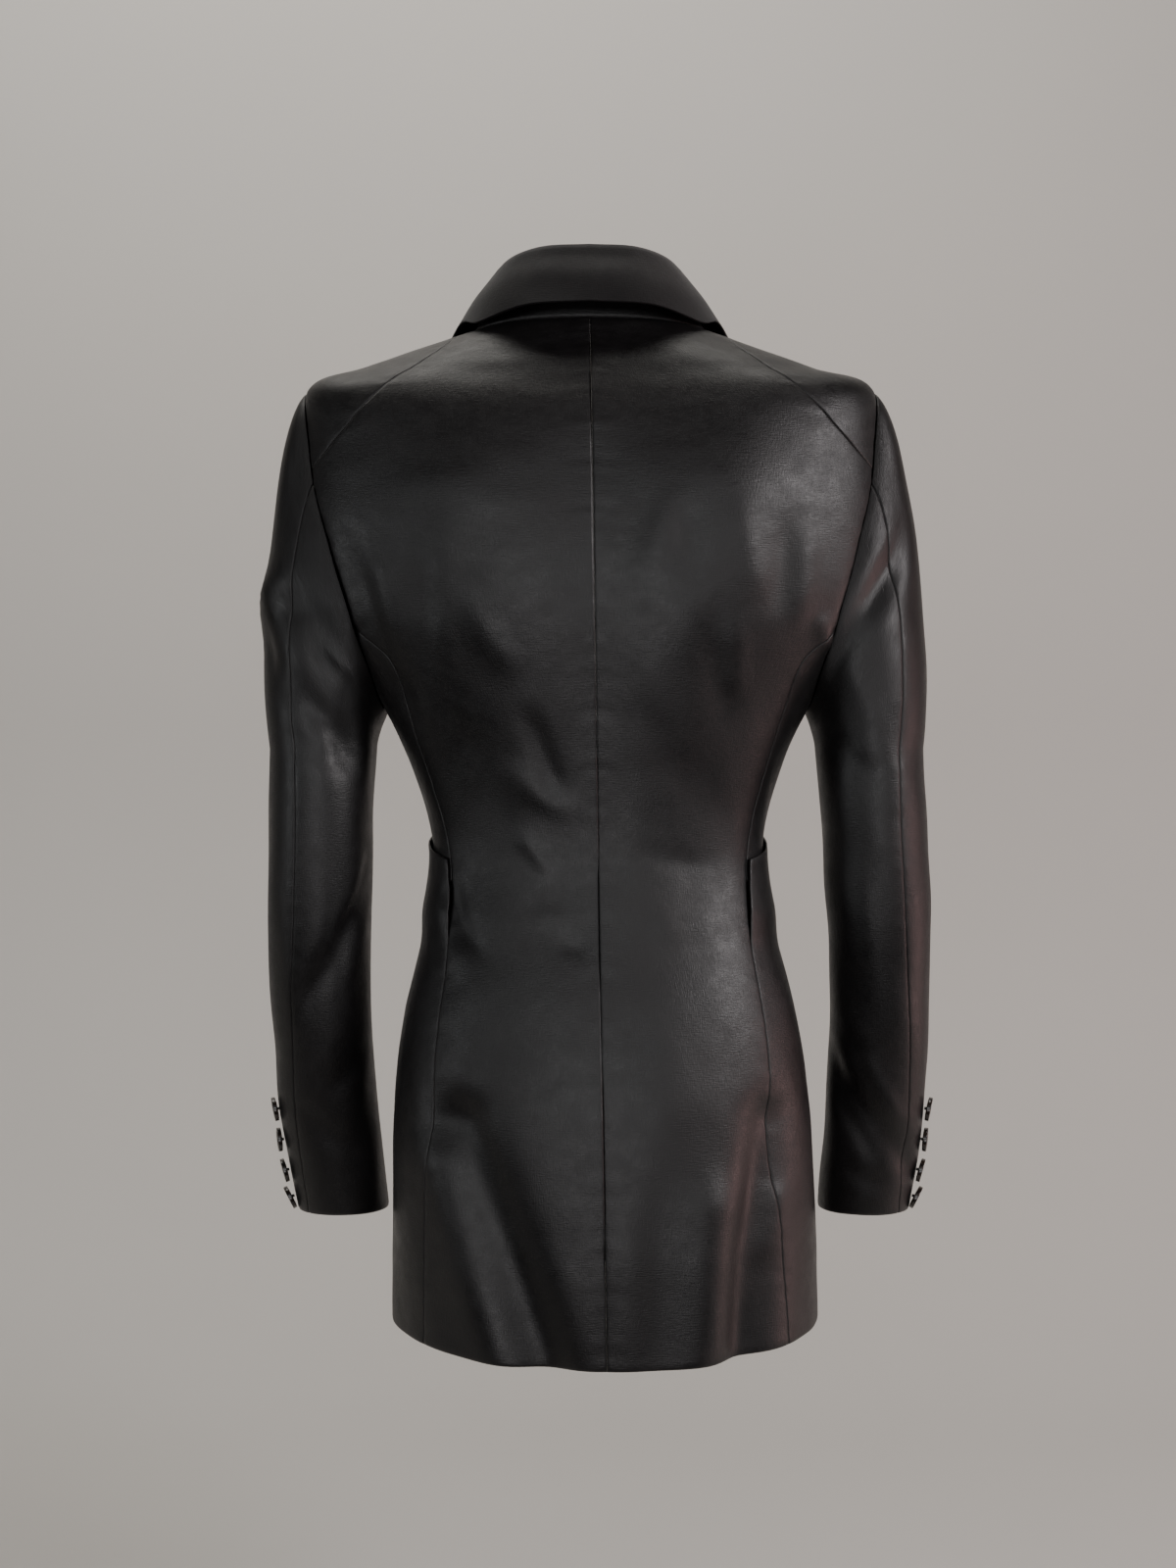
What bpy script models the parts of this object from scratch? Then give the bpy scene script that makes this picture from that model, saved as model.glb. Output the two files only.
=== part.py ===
"""A fitted long blazer in its worn, hollow form, built piece by piece as it is cut and sewn.

+Z is up, the front faces -Y and the wearer's left is +X. The origin lies between the two
neck points of the shoulders. Sizes are in metres. Each cloth piece is cut from the body or
sleeve surface by its seam lines, as an open sheet with a wall added on its inner face.
"""

import math

import bpy
import numpy as np
from mathutils import Vector
from mathutils.geometry import delaunay_2d_cdt

# Cloth
WALL = 0.0016
COLLAR_WALL = 0.0020
SEAM_GAP = 0.0009
SLEEVE_SEAM_GAP = 0.0013
ARMHOLE_GAP = 0.0012
BODY_STEP = 0.024
EDGE_STEP = 0.020

# Shape of the whole
LEAN = 0.0157  # the hang drifts this far to the wearer's right for each metre of drop
GIRTH_RADIUS = 0.13  # turns an angle round the body into a length when a panel is cut

# Seam ends on the armhole, and the neck
SHOULDER_SEAM_LEVEL = -0.105
SIDE_BACK_LEVEL = -0.217
SIDE_FRONT_LEVEL = -0.245
SHOULDER_SEAM_NECK_ANGLE = math.radians(68)
GORGE_ANGLE = math.radians(130)

# Waist overlap of the hip panel
SIDE_PANEL_END = -0.395
HIP_TOP_BACK = -0.379
HIP_TOP_FRONT = -0.352
HIP_LIFT = 0.0036
HIP_LIFT_FOOT = -0.445
HIP_LIFT_FULL = -0.412

# Front
FRONT_OVERLAP = 0.018
BREAK_LEVEL = -0.335
LEFT_LAPEL_END = -0.262  # under here the right front covers it
LAPEL_LIFT = 0.0046
OVERLAP_LIFT = 0.0038
FRONT_BUTTON_LEVEL = -0.360

# Buttons
CUFF_BUTTON_RADIUS = 0.0088
FRONT_BUTTON_RADIUS = 0.0110
BUTTON_THICKNESS = 0.0030
SHANK_RADIUS = 0.0011
SHANK_LENGTH = 0.0020
BUTTON_CLEARANCE = 0.0003
CUFF_BUTTON_ANGLE = math.radians(74)
CUFF_BUTTON_LEVELS = (-0.5645, -0.5880, -0.6110, -0.6310)
CUFF_BUTTON_TILTS = (4, -3, 5, 16)  # degrees, as they hang from loose shanks

# Level, heights at the back, side and front, half width, depths back and front, squareness.
BODY_COLUMNS = ("back_z", "side_z", "front_z", "half_width", "back", "front", "power")
BODY_RINGS = {
    # name:      level   back_z   side_z   front_z  width   back    front   power
    "hem":      (-0.718, -0.7215, -0.7115, -0.7200, 0.1540, 0.1200, 0.1130, 2.15),
    "thigh":    (-0.640, -0.6420, -0.6370, -0.6400, 0.1530, 0.1170, 0.1120, 2.20),
    "hip":      (-0.560, -0.5600, -0.5580, -0.5600, 0.1512, 0.1090, 0.1080, 2.25),
    "high hip": (-0.490, -0.4900, -0.4900, -0.4900, 0.1415, 0.0950, 0.1020, 2.30),
    "low waist": (-0.425, -0.4250, -0.4250, -0.4250, 0.1260, 0.0790, 0.0930, 2.30),
    "waist":    (-0.372, -0.3720, -0.3720, -0.3720, 0.1198, 0.0710, 0.0890, 2.30),
    "rib":      (-0.322, -0.3220, -0.3220, -0.3220, 0.1315, 0.0760, 0.1000, 2.25),
    "underarm": (-0.270, -0.2700, -0.2700, -0.2700, 0.1550, 0.0870, 0.1170, 2.20),
    "blade":    (-0.210, -0.2100, -0.2100, -0.2150, 0.1960, 0.0950, 0.1170, 2.25),
    "cross":    (-0.150, -0.1500, -0.1470, -0.1620, 0.2080, 0.0960, 0.1040, 2.30),
    "yoke":     (-0.095, -0.1030, -0.0920, -0.1230, 0.2085, 0.0920, 0.0870, 2.40),
    "shoulder": (-0.045, -0.0660, -0.0410, -0.0980, 0.2050, 0.0830, 0.0670, 2.50),
    "mid":      (0.010, -0.0360, -0.0255, -0.0920, 0.1640, 0.0710, 0.0600, 2.45),
    "near":     (0.060, -0.0120, -0.0095, -0.0980, 0.1180, 0.0580, 0.0600, 2.30),
    "neck":     (0.095, 0.0030, 0.0000, -0.1080, 0.0850, 0.0500, 0.0750, 2.60),
}
HEM_LEVEL = BODY_RINGS["hem"][0]
NECK_LEVEL = BODY_RINGS["neck"][0]
SHOULDER_LEVEL = BODY_RINGS["shoulder"][0]
UNDERARM_LEVEL = BODY_RINGS["underarm"][0]

# Armhole edge from the shoulder point down the back and up the front: level, distance from centre.
ARMHOLE_BACK = ((-0.060, 0.2055), (-0.100, 0.2005), (-0.160, 0.1865), (-0.214, 0.1705), (-0.240, 0.1625))
ARMHOLE_FRONT = ((-0.245, 0.1500), (-0.215, 0.1510), (-0.170, 0.1600), (-0.120, 0.1770), (-0.080, 0.1940))

# Seam lines: level, distance from the centre.
SIDE_BACK_SEAM = (
    (-0.718, 0.1270), (-0.650, 0.1245), (-0.580, 0.1195), (-0.512, 0.1160), (-0.428, 0.1055),
    (-0.372, 0.1060), (-0.320, 0.1185), (-0.272, 0.1335), (-0.238, 0.1475),
)
SIDE_FRONT_SEAM = (
    (-0.718, 0.1200), (-0.640, 0.1190), (-0.560, 0.1160), (-0.470, 0.1040), (-0.400, 0.0920),
    (-0.350, 0.0930), (-0.300, 0.1080), (-0.265, 0.1260),
)
# Shoulder seam behind the shoulder, seen from the back: distance from centre, height.
SHOULDER_SEAM = (
    (0.1080, -0.0190), (0.1300, -0.0370), (0.1510, -0.0545), (0.1700, -0.0740), (0.1855, -0.0895),
)
# Roll line of the lapel and its outer edge, seen from the front: distance from centre, height.
ROLL_LINE = ((0.0560, -0.0900), (0.0370, -0.1500), (0.0190, -0.2100), (0.0010, -0.2750))
LAPEL_TOP = ((0.0840, -0.0535), (0.0970, -0.0600), (0.1320, -0.0960))
LAPEL_EDGE = ((0.1260, -0.1250), (0.1080, -0.1750), (0.0800, -0.2300), (0.0400, -0.2850))
FRONT_CORNER = ((-0.7200, 0.0380), (-0.7080, 0.0110), (-0.6800, -0.0080), (-0.6400, -0.0160))

# Collar sections from the centre back to the gorge: angle of the neck seam, roll line, fall edge.
COLLAR_SECTIONS = (
    # degrees  roll x, y, z            edge x, y, z
    (0, (0.0000, 0.0470, 0.0530), (0.0000, 0.0710, 0.0090)),
    (30, (0.0300, 0.0425, 0.0525), (0.0440, 0.0650, 0.0075)),
    (60, (0.0520, 0.0250, 0.0480), (0.0780, 0.0400, 0.0010)),
    (90, (0.0600, 0.0000, 0.0380), (0.0960, 0.0040, 0.0040)),
    (110, (0.0615, -0.0260, 0.0120), (0.1120, -0.0280, -0.0245)),
    (130, (0.0600, -0.0550, -0.0390), (0.1100, -0.0600, -0.0610)),
)
ROLL_RADIUS = 0.0035

# Sleeve rings from the biceps to the cuff: height, centre x and y, half width, half depth.
SLEEVE_RINGS = {
    # name:    z        x       y        width   depth
    "biceps":  (-0.300, 0.1997, -0.0060, 0.0388, 0.0545),
    "upper":   (-0.360, 0.2018, -0.0040, 0.0377, 0.0510),
    "elbow":   (-0.420, 0.2040, -0.0050, 0.0373, 0.0480),
    "forearm": (-0.490, 0.2050, -0.0140, 0.0362, 0.0440),
    "wrist":   (-0.560, 0.2028, -0.0280, 0.0360, 0.0405),
    "shaft":   (-0.610, 0.1984, -0.0380, 0.0352, 0.0385),
    "cuff":    (-0.6415, 0.1948, -0.0440, 0.0338, 0.0375),
}
SLEEVE_POWER = 2.1
CAP_ROWS = 7
ARM_ROWS = 13
# Seam angles round the sleeve (0 at the back, 90 outside): armhole, biceps, elbow, forearm, cuff.
SLEEVE_SEAM_PLACES = (0.0, 1.0, 2.0, 3.0, 4.0)
HIND_SEAM = (36, 22, 20, 30, 40)
FORE_SEAM = (235, 226, 222, 220, 218)

# Largest folds, seen from the back: side, start x, z, end x, z, half width, height of the ridge.
BACK_FOLDS = {
    "left hem trough": (1, 0.098, -0.560, 0.034, -0.740, 0.019, -0.0085),
    "left hem ridge": (1, 0.112, -0.590, 0.066, -0.740, 0.020, 0.0055),
    "right hem trough": (-1, 0.118, -0.560, 0.090, -0.740, 0.018, -0.0085),
    "right hem ridge": (-1, 0.078, -0.620, 0.060, -0.740, 0.022, 0.0045),
    "left blade": (1, 0.075, -0.190, 0.095, -0.130, 0.045, 0.0050),
    "right blade": (-1, 0.075, -0.190, 0.095, -0.130, 0.045, 0.0050),
    "left spine hollow": (1, 0.000, -0.270, 0.000, -0.110, 0.030, -0.0035),
    "right spine hollow": (-1, 0.000, -0.270, 0.000, -0.110, 0.030, -0.0035),
}
# Sleeve folds: side, start angle, z, end angle, z, half width along the arm, height of the ridge.
SLEEVE_FOLDS = {
    "left elbow bump": (1, 60, -0.190, 100, -0.200, 0.022, 0.0045),
    "left upper trough": (1, 50, -0.240, -25, -0.290, 0.016, -0.0045),
    "right upper trough": (-1, 30, -0.170, -30, -0.225, 0.016, -0.0040),
    "left forearm fold": (1, -60, -0.420, 0, -0.470, 0.016, -0.0030),
    "right forearm fold": (-1, -60, -0.540, 40, -0.600, 0.015, -0.0035),
}

# Finishes: colour, roughness, metallic.
FINISHES = {
    "satin": ((0.012, 0.011, 0.012), 0.38, 0.0),
    "collar satin": ((0.010, 0.009, 0.010), 0.45, 0.0),
    "lapel satin": ((0.013, 0.012, 0.013), 0.34, 0.0),
    "horn button": ((0.020, 0.014, 0.011), 0.30, 0.0),
}


class Smooth:
    """A smooth curve through rows of values, one row at each knot."""

    def __init__(self, knots, rows):
        self.knots = np.array(knots, float)
        self.rows = np.array(rows, float)
        self.slopes = np.gradient(self.rows, self.knots, axis=0)

    def __call__(self, place):
        place = np.asarray(place, float)
        low = np.clip(np.searchsorted(self.knots, place, side="right") - 1, 0, len(self.knots) - 2)
        width = (self.knots[low + 1] - self.knots[low])[..., None]
        f = np.clip((place - self.knots[low])[..., None] / width, -0.3, 1.3)
        start = (1 + 2 * f) * (1 - f) ** 2 * self.rows[low] + f * (1 - f) ** 2 * width * self.slopes[low]
        end = f * f * (3 - 2 * f) * self.rows[low + 1] + f * f * (f - 1) * width * self.slopes[low + 1]
        return start + end


def clear_scene():
    for obj in list(bpy.data.objects):
        bpy.data.objects.remove(obj)


def make_collection(name):
    collection = bpy.data.collections.new(name)
    bpy.context.scene.collection.children.link(collection)
    return collection


def make_material(name):
    colour, roughness, metallic = FINISHES[name]
    material = bpy.data.materials.new(name)
    material.use_nodes = True
    shader = material.node_tree.nodes["Principled BSDF"]
    shader.inputs["Base Color"].default_value = (*colour, 1.0)
    shader.inputs["Roughness"].default_value = roughness
    shader.inputs["Metallic"].default_value = metallic
    material.diffuse_color = (*colour, 1.0)
    return material


BODY = Smooth([row[0] for row in BODY_RINGS.values()], [row[1:] for row in BODY_RINGS.values()])


def body_ring(level):
    return dict(zip(BODY_COLUMNS, np.moveaxis(BODY(level), -1, 0)))


def bare_body(angle, level):
    """Places on the body surface, before folds. The angle is 0 at the centre back and grows to the side."""
    ring = body_ring(level)
    sine, cosine = np.sin(angle), np.cos(angle)
    reach = (np.abs(sine) ** ring["power"] + np.abs(cosine) ** ring["power"]) ** (1 / ring["power"])
    depth = np.where(cosine > 0, ring["back"], ring["front"])
    end_z = np.where(cosine > 0, ring["back_z"], ring["front_z"])
    x = ring["half_width"] * sine / reach
    y = depth * cosine / reach
    z = ring["side_z"] + (end_z - ring["side_z"]) * cosine**2
    return np.stack([x, y, z], axis=-1)


def unit(vectors):
    return vectors / np.linalg.norm(vectors, axis=-1, keepdims=True)


def fold_heights(points, side, folds, distance):
    """The sum of the soft ridges and troughs at each point."""
    total = np.zeros(len(points))
    for fold_side, ax, az, bx, bz, width, height in folds.values():
        if fold_side == side:
            total += height * np.exp(-((distance(points, (ax, az), (bx, bz)) / width) ** 2))
    return total


def segment_distance(points, start, end):
    """Distance of flat points from a segment."""
    start, run = np.array(start), np.subtract(end, start)
    along = np.clip(((points - start) @ run) / (run @ run), 0, 1)
    return np.linalg.norm(points - start - along[:, None] * run, axis=1)


def body_place(angle, level, side, lift=0.0):
    """Places on the dressed body of one side, lifted off it by a distance, in the part's own frame."""
    step = 1e-4
    points = bare_body(angle, level)
    across = bare_body(angle + step, level) - points
    upward = bare_body(angle, level + step) - points
    normal = unit(np.cross(upward, across))
    on_back = np.clip(np.cos(angle) * 4, 0, 1)
    folds = fold_heights(points[:, [0, 2]], side, BACK_FOLDS, segment_distance) * on_back
    points = points + normal * (folds + lift)[:, None]
    return hang(points, side)


def hang(points, side):
    """Mirrors points of the left side where needed and lets them drift with the hang."""
    points = np.array(points, float)
    points[..., 0] = side * points[..., 0] + LEAN * points[..., 2]
    return points


def angle_on(level, x, front=False):
    """The angle at a distance from the centre, on the back or on the front."""
    ring = body_ring(level)
    lateral = np.clip(np.abs(x) / ring["half_width"], 0, 1)
    axial = (1 - lateral ** ring["power"]) ** (1 / ring["power"])
    angle = np.arctan2(lateral, axial) * np.where(np.asarray(x) < 0, -1, 1)
    return math.pi - angle if front else angle


def locate(x, z, front=False):
    """The angle and level of the place seen at a distance from the centre and a height."""
    low, high = BREAK_LEVEL - 0.005, NECK_LEVEL
    for _ in range(40):
        level = (low + high) / 2
        reachable = body_ring(level)["half_width"] > abs(x)
        angle = angle_on(level, x, front)
        if reachable and bare_body(angle, level)[2] < z:
            low = level
        else:
            high = level
    return float(angle_on(low, x, front)), low


def resample(points, step):
    """A smooth line through flat points, with even spacing close to a step."""
    points = np.array(points, float)
    lengths = np.concatenate([[0], np.cumsum(np.linalg.norm(np.diff(points, axis=0), axis=1))])
    count = max(2, round(lengths[-1] / step) + 1)
    if len(points) == 2:
        return points[0] + (points[1] - points[0]) * np.linspace(0, 1, count)[:, None]
    fine = np.linspace(0, lengths[-1], count)
    return Smooth(lengths, points)(fine)


def flat(angle, level):
    """Where a place on the body lies on the cutting table."""
    return np.stack([np.asarray(angle) * GIRTH_RADIUS, np.asarray(level) + 0.0 * np.asarray(angle)], axis=-1)


def armhole_loop():
    """The armhole edge on the cutting table, as a function of the share of its length."""
    back = [flat(angle_on(level, x), level) for level, x in ARMHOLE_BACK]
    front = [flat(angle_on(level, x, True), level) for level, x in ARMHOLE_FRONT]
    top = flat(math.pi / 2, SHOULDER_LEVEL)
    bottom = flat(math.pi / 2, UNDERARM_LEVEL)
    loop = np.array([*front[-2:], top, *back, bottom, *front, top, *back[:2]])
    knots = np.concatenate([[0], np.cumsum(np.linalg.norm(np.diff(loop, axis=0), axis=1))])
    curve = Smooth(knots, loop)
    fine = np.linspace(knots[2], knots[-3], 721)
    table = curve(fine)
    solid = bare_body(table[:, 0] / GIRTH_RADIUS, table[:, 1])
    shares = np.concatenate([[0], np.cumsum(np.linalg.norm(np.diff(solid, axis=0), axis=1))])
    shares /= shares[-1]
    return lambda share: curve(np.interp(np.asarray(share) % 1.0, shares, fine)), shares, table


ARMHOLE, ARMHOLE_SHARES, ARMHOLE_TABLE = armhole_loop()


def armhole_share(level, front=False):
    """The share of the armhole at which its edge passes a level."""
    lowest = int(np.argmin(ARMHOLE_TABLE[:, 1]))
    if front:
        return float(np.interp(level, ARMHOLE_TABLE[lowest:, 1], ARMHOLE_SHARES[lowest:]))
    return float(np.interp(-level, -ARMHOLE_TABLE[: lowest + 1, 1], ARMHOLE_SHARES[: lowest + 1]))


SHOULDER_SHARE = armhole_share(SHOULDER_SEAM_LEVEL)
SIDE_BACK_SHARE = armhole_share(SIDE_BACK_LEVEL)
SIDE_FRONT_SHARE = armhole_share(SIDE_FRONT_LEVEL, True)


def armhole_part(start, end):
    count = max(2, round(abs(end - start) * 0.58 / EDGE_STEP) + 1)
    return ARMHOLE(np.linspace(start, end, count))


def seam(rows, top, front=False):
    """A lengthwise seam from the hem up to its top end on the armhole."""
    points = [flat(angle_on(level, x, front), level) for level, x in rows]
    return resample([*points, top], EDGE_STEP)


def cut_at(line, level):
    """Splits a line that runs upward into the parts under and over a level."""
    place = np.interp(level, line[:, 1], line[:, 0])
    corner = np.array([[place, level]])
    under = line[line[:, 1] < level - 0.002]
    over = line[line[:, 1] > level + 0.002]
    return np.concatenate([under, corner]), np.concatenate([corner, over])


def make_lines():
    """The seam lines of one side on the cutting table, each with its own direction."""
    lines = {}
    lines["side back"] = seam(SIDE_BACK_SEAM, ARMHOLE(SIDE_BACK_SHARE))
    lines["side front"] = seam(SIDE_FRONT_SEAM, ARMHOLE(SIDE_FRONT_SHARE), True)
    neck = flat(SHOULDER_SEAM_NECK_ANGLE, NECK_LEVEL)
    middle = [flat(*locate(x, z)) for x, z in SHOULDER_SEAM]
    lines["shoulder"] = resample([neck, *middle, ARMHOLE(SHOULDER_SHARE)], EDGE_STEP)
    gorge = flat(GORGE_ANGLE, NECK_LEVEL)
    roll = [flat(*locate(x, z, True)) for x, z in ROLL_LINE]
    lap_point = flat(angle_on(BREAK_LEVEL, -FRONT_OVERLAP, True), BREAK_LEVEL)
    lines["roll"] = resample([gorge, *roll, lap_point], EDGE_STEP)
    corner = [flat(angle_on(max(z, HEM_LEVEL), x, True), max(z, HEM_LEVEL)) for z, x in FRONT_CORNER]
    lines["edge"] = resample([*corner, lap_point], EDGE_STEP)
    top = [flat(*locate(x, z, True)) for x, z in LAPEL_TOP]
    outer = [flat(*locate(x, z, True)) for x, z in LAPEL_EDGE]
    lines["lapel top"] = resample([gorge, *top], EDGE_STEP)
    lines["lapel edge"] = resample([top[-1], *outer, lap_point], EDGE_STEP)
    return lines


def across_line(start, end):
    """A straight line on the cutting table between two of its points."""
    return resample([start, end], BODY_STEP)


def outline_of(*edges):
    """Joins edges end to end and drops the repeated corners."""
    points = np.concatenate(edges)
    keep = [0]
    for index in range(1, len(points)):
        if np.linalg.norm(points[index] - points[keep[-1]]) > 0.002:
            keep.append(index)
    if np.linalg.norm(points[keep[-1]] - points[keep[0]]) < 0.002:
        keep.pop()
    return points[keep]


def inset(outline, distance):
    """Moves each point of a closed outline inward."""
    before = unit(outline - np.roll(outline, 1, axis=0))
    after = unit(np.roll(outline, -1, axis=0) - outline)
    turn = np.sum(np.cross(outline, np.roll(outline, -1, axis=0))) / 2
    left = np.array([[0, 1], [-1, 0]]) * (1 if turn > 0 else -1)
    inward = before @ left + after @ left
    stretch = np.maximum(np.sum(inward**2, axis=1, keepdims=True) / 2, 0.6)
    return outline + inward / stretch * distance


def inner_grid(outline, step):
    """Grid points inside an outline, clear of its edge."""
    low, high = outline.min(axis=0), outline.max(axis=0)
    across = np.arange(low[0] + step / 2, high[0], step)
    upward = np.arange(low[1] + step / 2, high[1], step)
    points = np.stack(np.meshgrid(across, upward), axis=-1).reshape(-1, 2)
    inside = np.zeros(len(points), bool)
    nearest = np.full(len(points), 9.0)
    for start, end in zip(outline, np.roll(outline, -1, axis=0)):
        nearest = np.minimum(nearest, segment_distance(points, start, end))
        crosses = (start[1] > points[:, 1]) != (end[1] > points[:, 1])
        slope = (end[0] - start[0]) / (end[1] - start[1] + 1e-12)
        inside ^= crosses & (points[:, 0] < start[0] + slope * (points[:, 1] - start[1]))
    return points[inside & (nearest > 0.55 * step)]


def add_sheet(name, points, faces, wall, material, collection):
    """An open sheet with a wall grown on its inner face."""
    mesh = bpy.data.meshes.new(name)
    mesh.from_pydata([tuple(p) for p in points], [], faces)
    mesh.shade_smooth()
    mesh.materials.append(material)
    piece = bpy.data.objects.new(name, mesh)
    collection.objects.link(piece)
    solidify = piece.modifiers.new("Wall", "SOLIDIFY")
    solidify.thickness = wall
    solidify.offset = -1
    return piece


def cut_panel(name, outline, side, material, collection, lift=None):
    """A cloth panel: its outline on the cutting table, laid on the body of one side."""
    outline = inset(outline, SEAM_GAP / 2)
    table = np.concatenate([outline, inner_grid(outline, BODY_STEP)])
    corners = list(range(len(outline)))
    result = delaunay_2d_cdt([Vector(p) for p in table], [], [corners], 1, 1e-7)
    table = np.array([tuple(v) for v in result[0]])
    lifts = np.zeros(len(table)) if lift is None else lift(table)
    points = body_place(table[:, 0] / GIRTH_RADIUS, table[:, 1], side, lifts)
    faces = [tuple(face) if side < 0 else tuple(reversed(face)) for face in result[2]]
    return add_sheet(name, points, faces, WALL, material, collection)


def ease(value, start, end):
    """0 before the start, 1 after the end, with a soft step between."""
    share = np.clip((value - start) / (end - start), 0, 1)
    return share * share * (3 - 2 * share)


def hip_lift(table):
    """The hip panel stands off at the waist, where it laps over the side panel."""
    return HIP_LIFT * ease(table[:, 1], HIP_LIFT_FOOT, HIP_LIFT_FULL)


def right_front_lift(table):
    """The right front rises over the left one before the left one's edge."""
    past = table[:, 0] / GIRTH_RADIUS
    ring = body_ring(table[:, 1])
    x = ring["half_width"] * np.sin(past)
    front = past > math.pi / 2
    return OVERLAP_LIFT * ease(-x, -0.060, -FRONT_OVERLAP - 0.004) * front


def left_lapel_lift(table):
    return np.full(len(table), LAPEL_LIFT)


def right_lapel_lift(table):
    return LAPEL_LIFT + right_front_lift(table)


def build_body(side, name, lines, materials, collection):
    """The back, side, hip and front panels and the lapel of one side."""
    satin = materials["satin"]
    seam_foot, seam_top = cut_at(lines["side back"], SIDE_PANEL_END)
    front_foot, front_top = cut_at(lines["side front"], SIDE_PANEL_END)
    hip_back, _ = cut_at(lines["side back"], HIP_TOP_BACK)
    hip_front, _ = cut_at(lines["side front"], HIP_TOP_FRONT)
    hem_centre = flat(0.0, HEM_LEVEL)
    neck_centre = flat(0.0, NECK_LEVEL)
    back = outline_of(
        across_line(hem_centre, lines["side back"][0]),
        lines["side back"],
        armhole_part(SIDE_BACK_SHARE, SHOULDER_SHARE),
        lines["shoulder"][::-1],
        across_line(lines["shoulder"][0], neck_centre),
        across_line(neck_centre, hem_centre),
    )
    cut_panel(f"back_{name}", back, side, satin, collection)
    side_panel = outline_of(
        across_line(seam_top[0], front_top[0]),
        front_top,
        armhole_part(SIDE_FRONT_SHARE, SIDE_BACK_SHARE),
        seam_top[::-1],
    )
    cut_panel(f"side_{name}", side_panel, side, satin, collection)
    hip = outline_of(
        across_line(hip_back[0], hip_front[0]),
        hip_front,
        across_line(hip_front[-1], hip_back[-1]),
        hip_back[::-1],
    )
    cut_panel(f"hip_{name}", hip, side, satin, collection, hip_lift)
    front = outline_of(
        across_line(lines["side front"][0], lines["edge"][0]),
        lines["edge"],
        lines["roll"][::-1],
        across_line(lines["roll"][0], lines["shoulder"][0]),
        lines["shoulder"],
        armhole_part(SHOULDER_SHARE, 0.0),
        armhole_part(1.0, SIDE_FRONT_SHARE),
        lines["side front"][::-1],
    )
    cut_panel(f"front_{name}", front, side, satin, collection, right_front_lift if side < 0 else None)
    edge, roll, lift = lines["lapel edge"], lines["roll"], right_lapel_lift
    if side > 0:
        edge = edge[edge[:, 1] > LEFT_LAPEL_END]
        roll = roll[roll[:, 1] > LEFT_LAPEL_END]
        lift = left_lapel_lift
    lapel = outline_of(lines["lapel top"], edge, roll[::-1])
    cut_panel(f"lapel_{name}", lapel, side, materials["lapel satin"], collection, lift)


def collar_section(angle, roll, edge):
    """The cross-section of the folded collar at one place round the neck."""
    neck = bare_body(np.array(angle), np.array(NECK_LEVEL))
    roll, edge = np.array(roll), np.array(edge)
    stand = unit(roll - neck)
    outward = edge - roll
    outward = unit(np.array([outward[0], outward[1], 0.0]))
    fall_top = roll + outward * 2 * ROLL_RADIUS - stand * 1.5 * ROLL_RADIUS
    middle = (fall_top + edge) / 2 + outward * 0.0025
    return [
        neck + stand * 0.0012,
        neck + (roll - neck) * 0.5,
        roll - stand * 1.5 * ROLL_RADIUS,
        roll + outward * 0.3 * ROLL_RADIUS - stand * 0.3 * ROLL_RADIUS,
        roll + outward * ROLL_RADIUS,
        roll + outward * 1.7 * ROLL_RADIUS - stand * 0.3 * ROLL_RADIUS,
        fall_top,
        middle,
        edge,
    ]


def build_collar(materials, collection):
    """The stand and fall as one folded piece, round the neck from gorge to gorge."""
    degrees = [row[0] for row in COLLAR_SECTIONS]
    roll = Smooth(degrees, [row[1] for row in COLLAR_SECTIONS])
    edge = Smooth(degrees, [row[2] for row in COLLAR_SECTIONS])
    half = [collar_section(math.radians(d), roll(d), edge(d)) for d in np.linspace(0, degrees[-1], 13)]
    half = np.array(half)
    sections = np.concatenate([hang(half[:0:-1], -1), hang(half, 1)])
    count = sections.shape[1]
    faces = []
    for row in range(len(sections) - 1):
        for column in range(count - 1):
            corner = row * count + column
            faces.append((corner, corner + 1, corner + count + 1, corner + count))
    points = sections.reshape(-1, 3)
    add_sheet("collar", points, faces, COLLAR_WALL, materials["collar satin"], collection)


SLEEVE = Smooth([-row[0] for row in SLEEVE_RINGS.values()], [row[1:] for row in SLEEVE_RINGS.values()])
BICEPS_Z = SLEEVE_RINGS["biceps"][0]
CUFF_Z = SLEEVE_RINGS["cuff"][0]


def sleeve_ring(turn, z):
    """Places on the arm of the sleeve; the turn is 0 at the back and a quarter turn outside."""
    centre_x, centre_y, half_width, half_depth = np.moveaxis(SLEEVE(-np.asarray(z)), -1, 0)
    sine, cosine = np.sin(turn), np.cos(turn)
    reach = (np.abs(sine) ** SLEEVE_POWER + np.abs(cosine) ** SLEEVE_POWER) ** (1 / SLEEVE_POWER)
    x = centre_x + half_width * sine / reach
    y = centre_y + half_depth * cosine / reach
    return np.stack([x, y, z + 0.0 * x], axis=-1)


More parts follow.
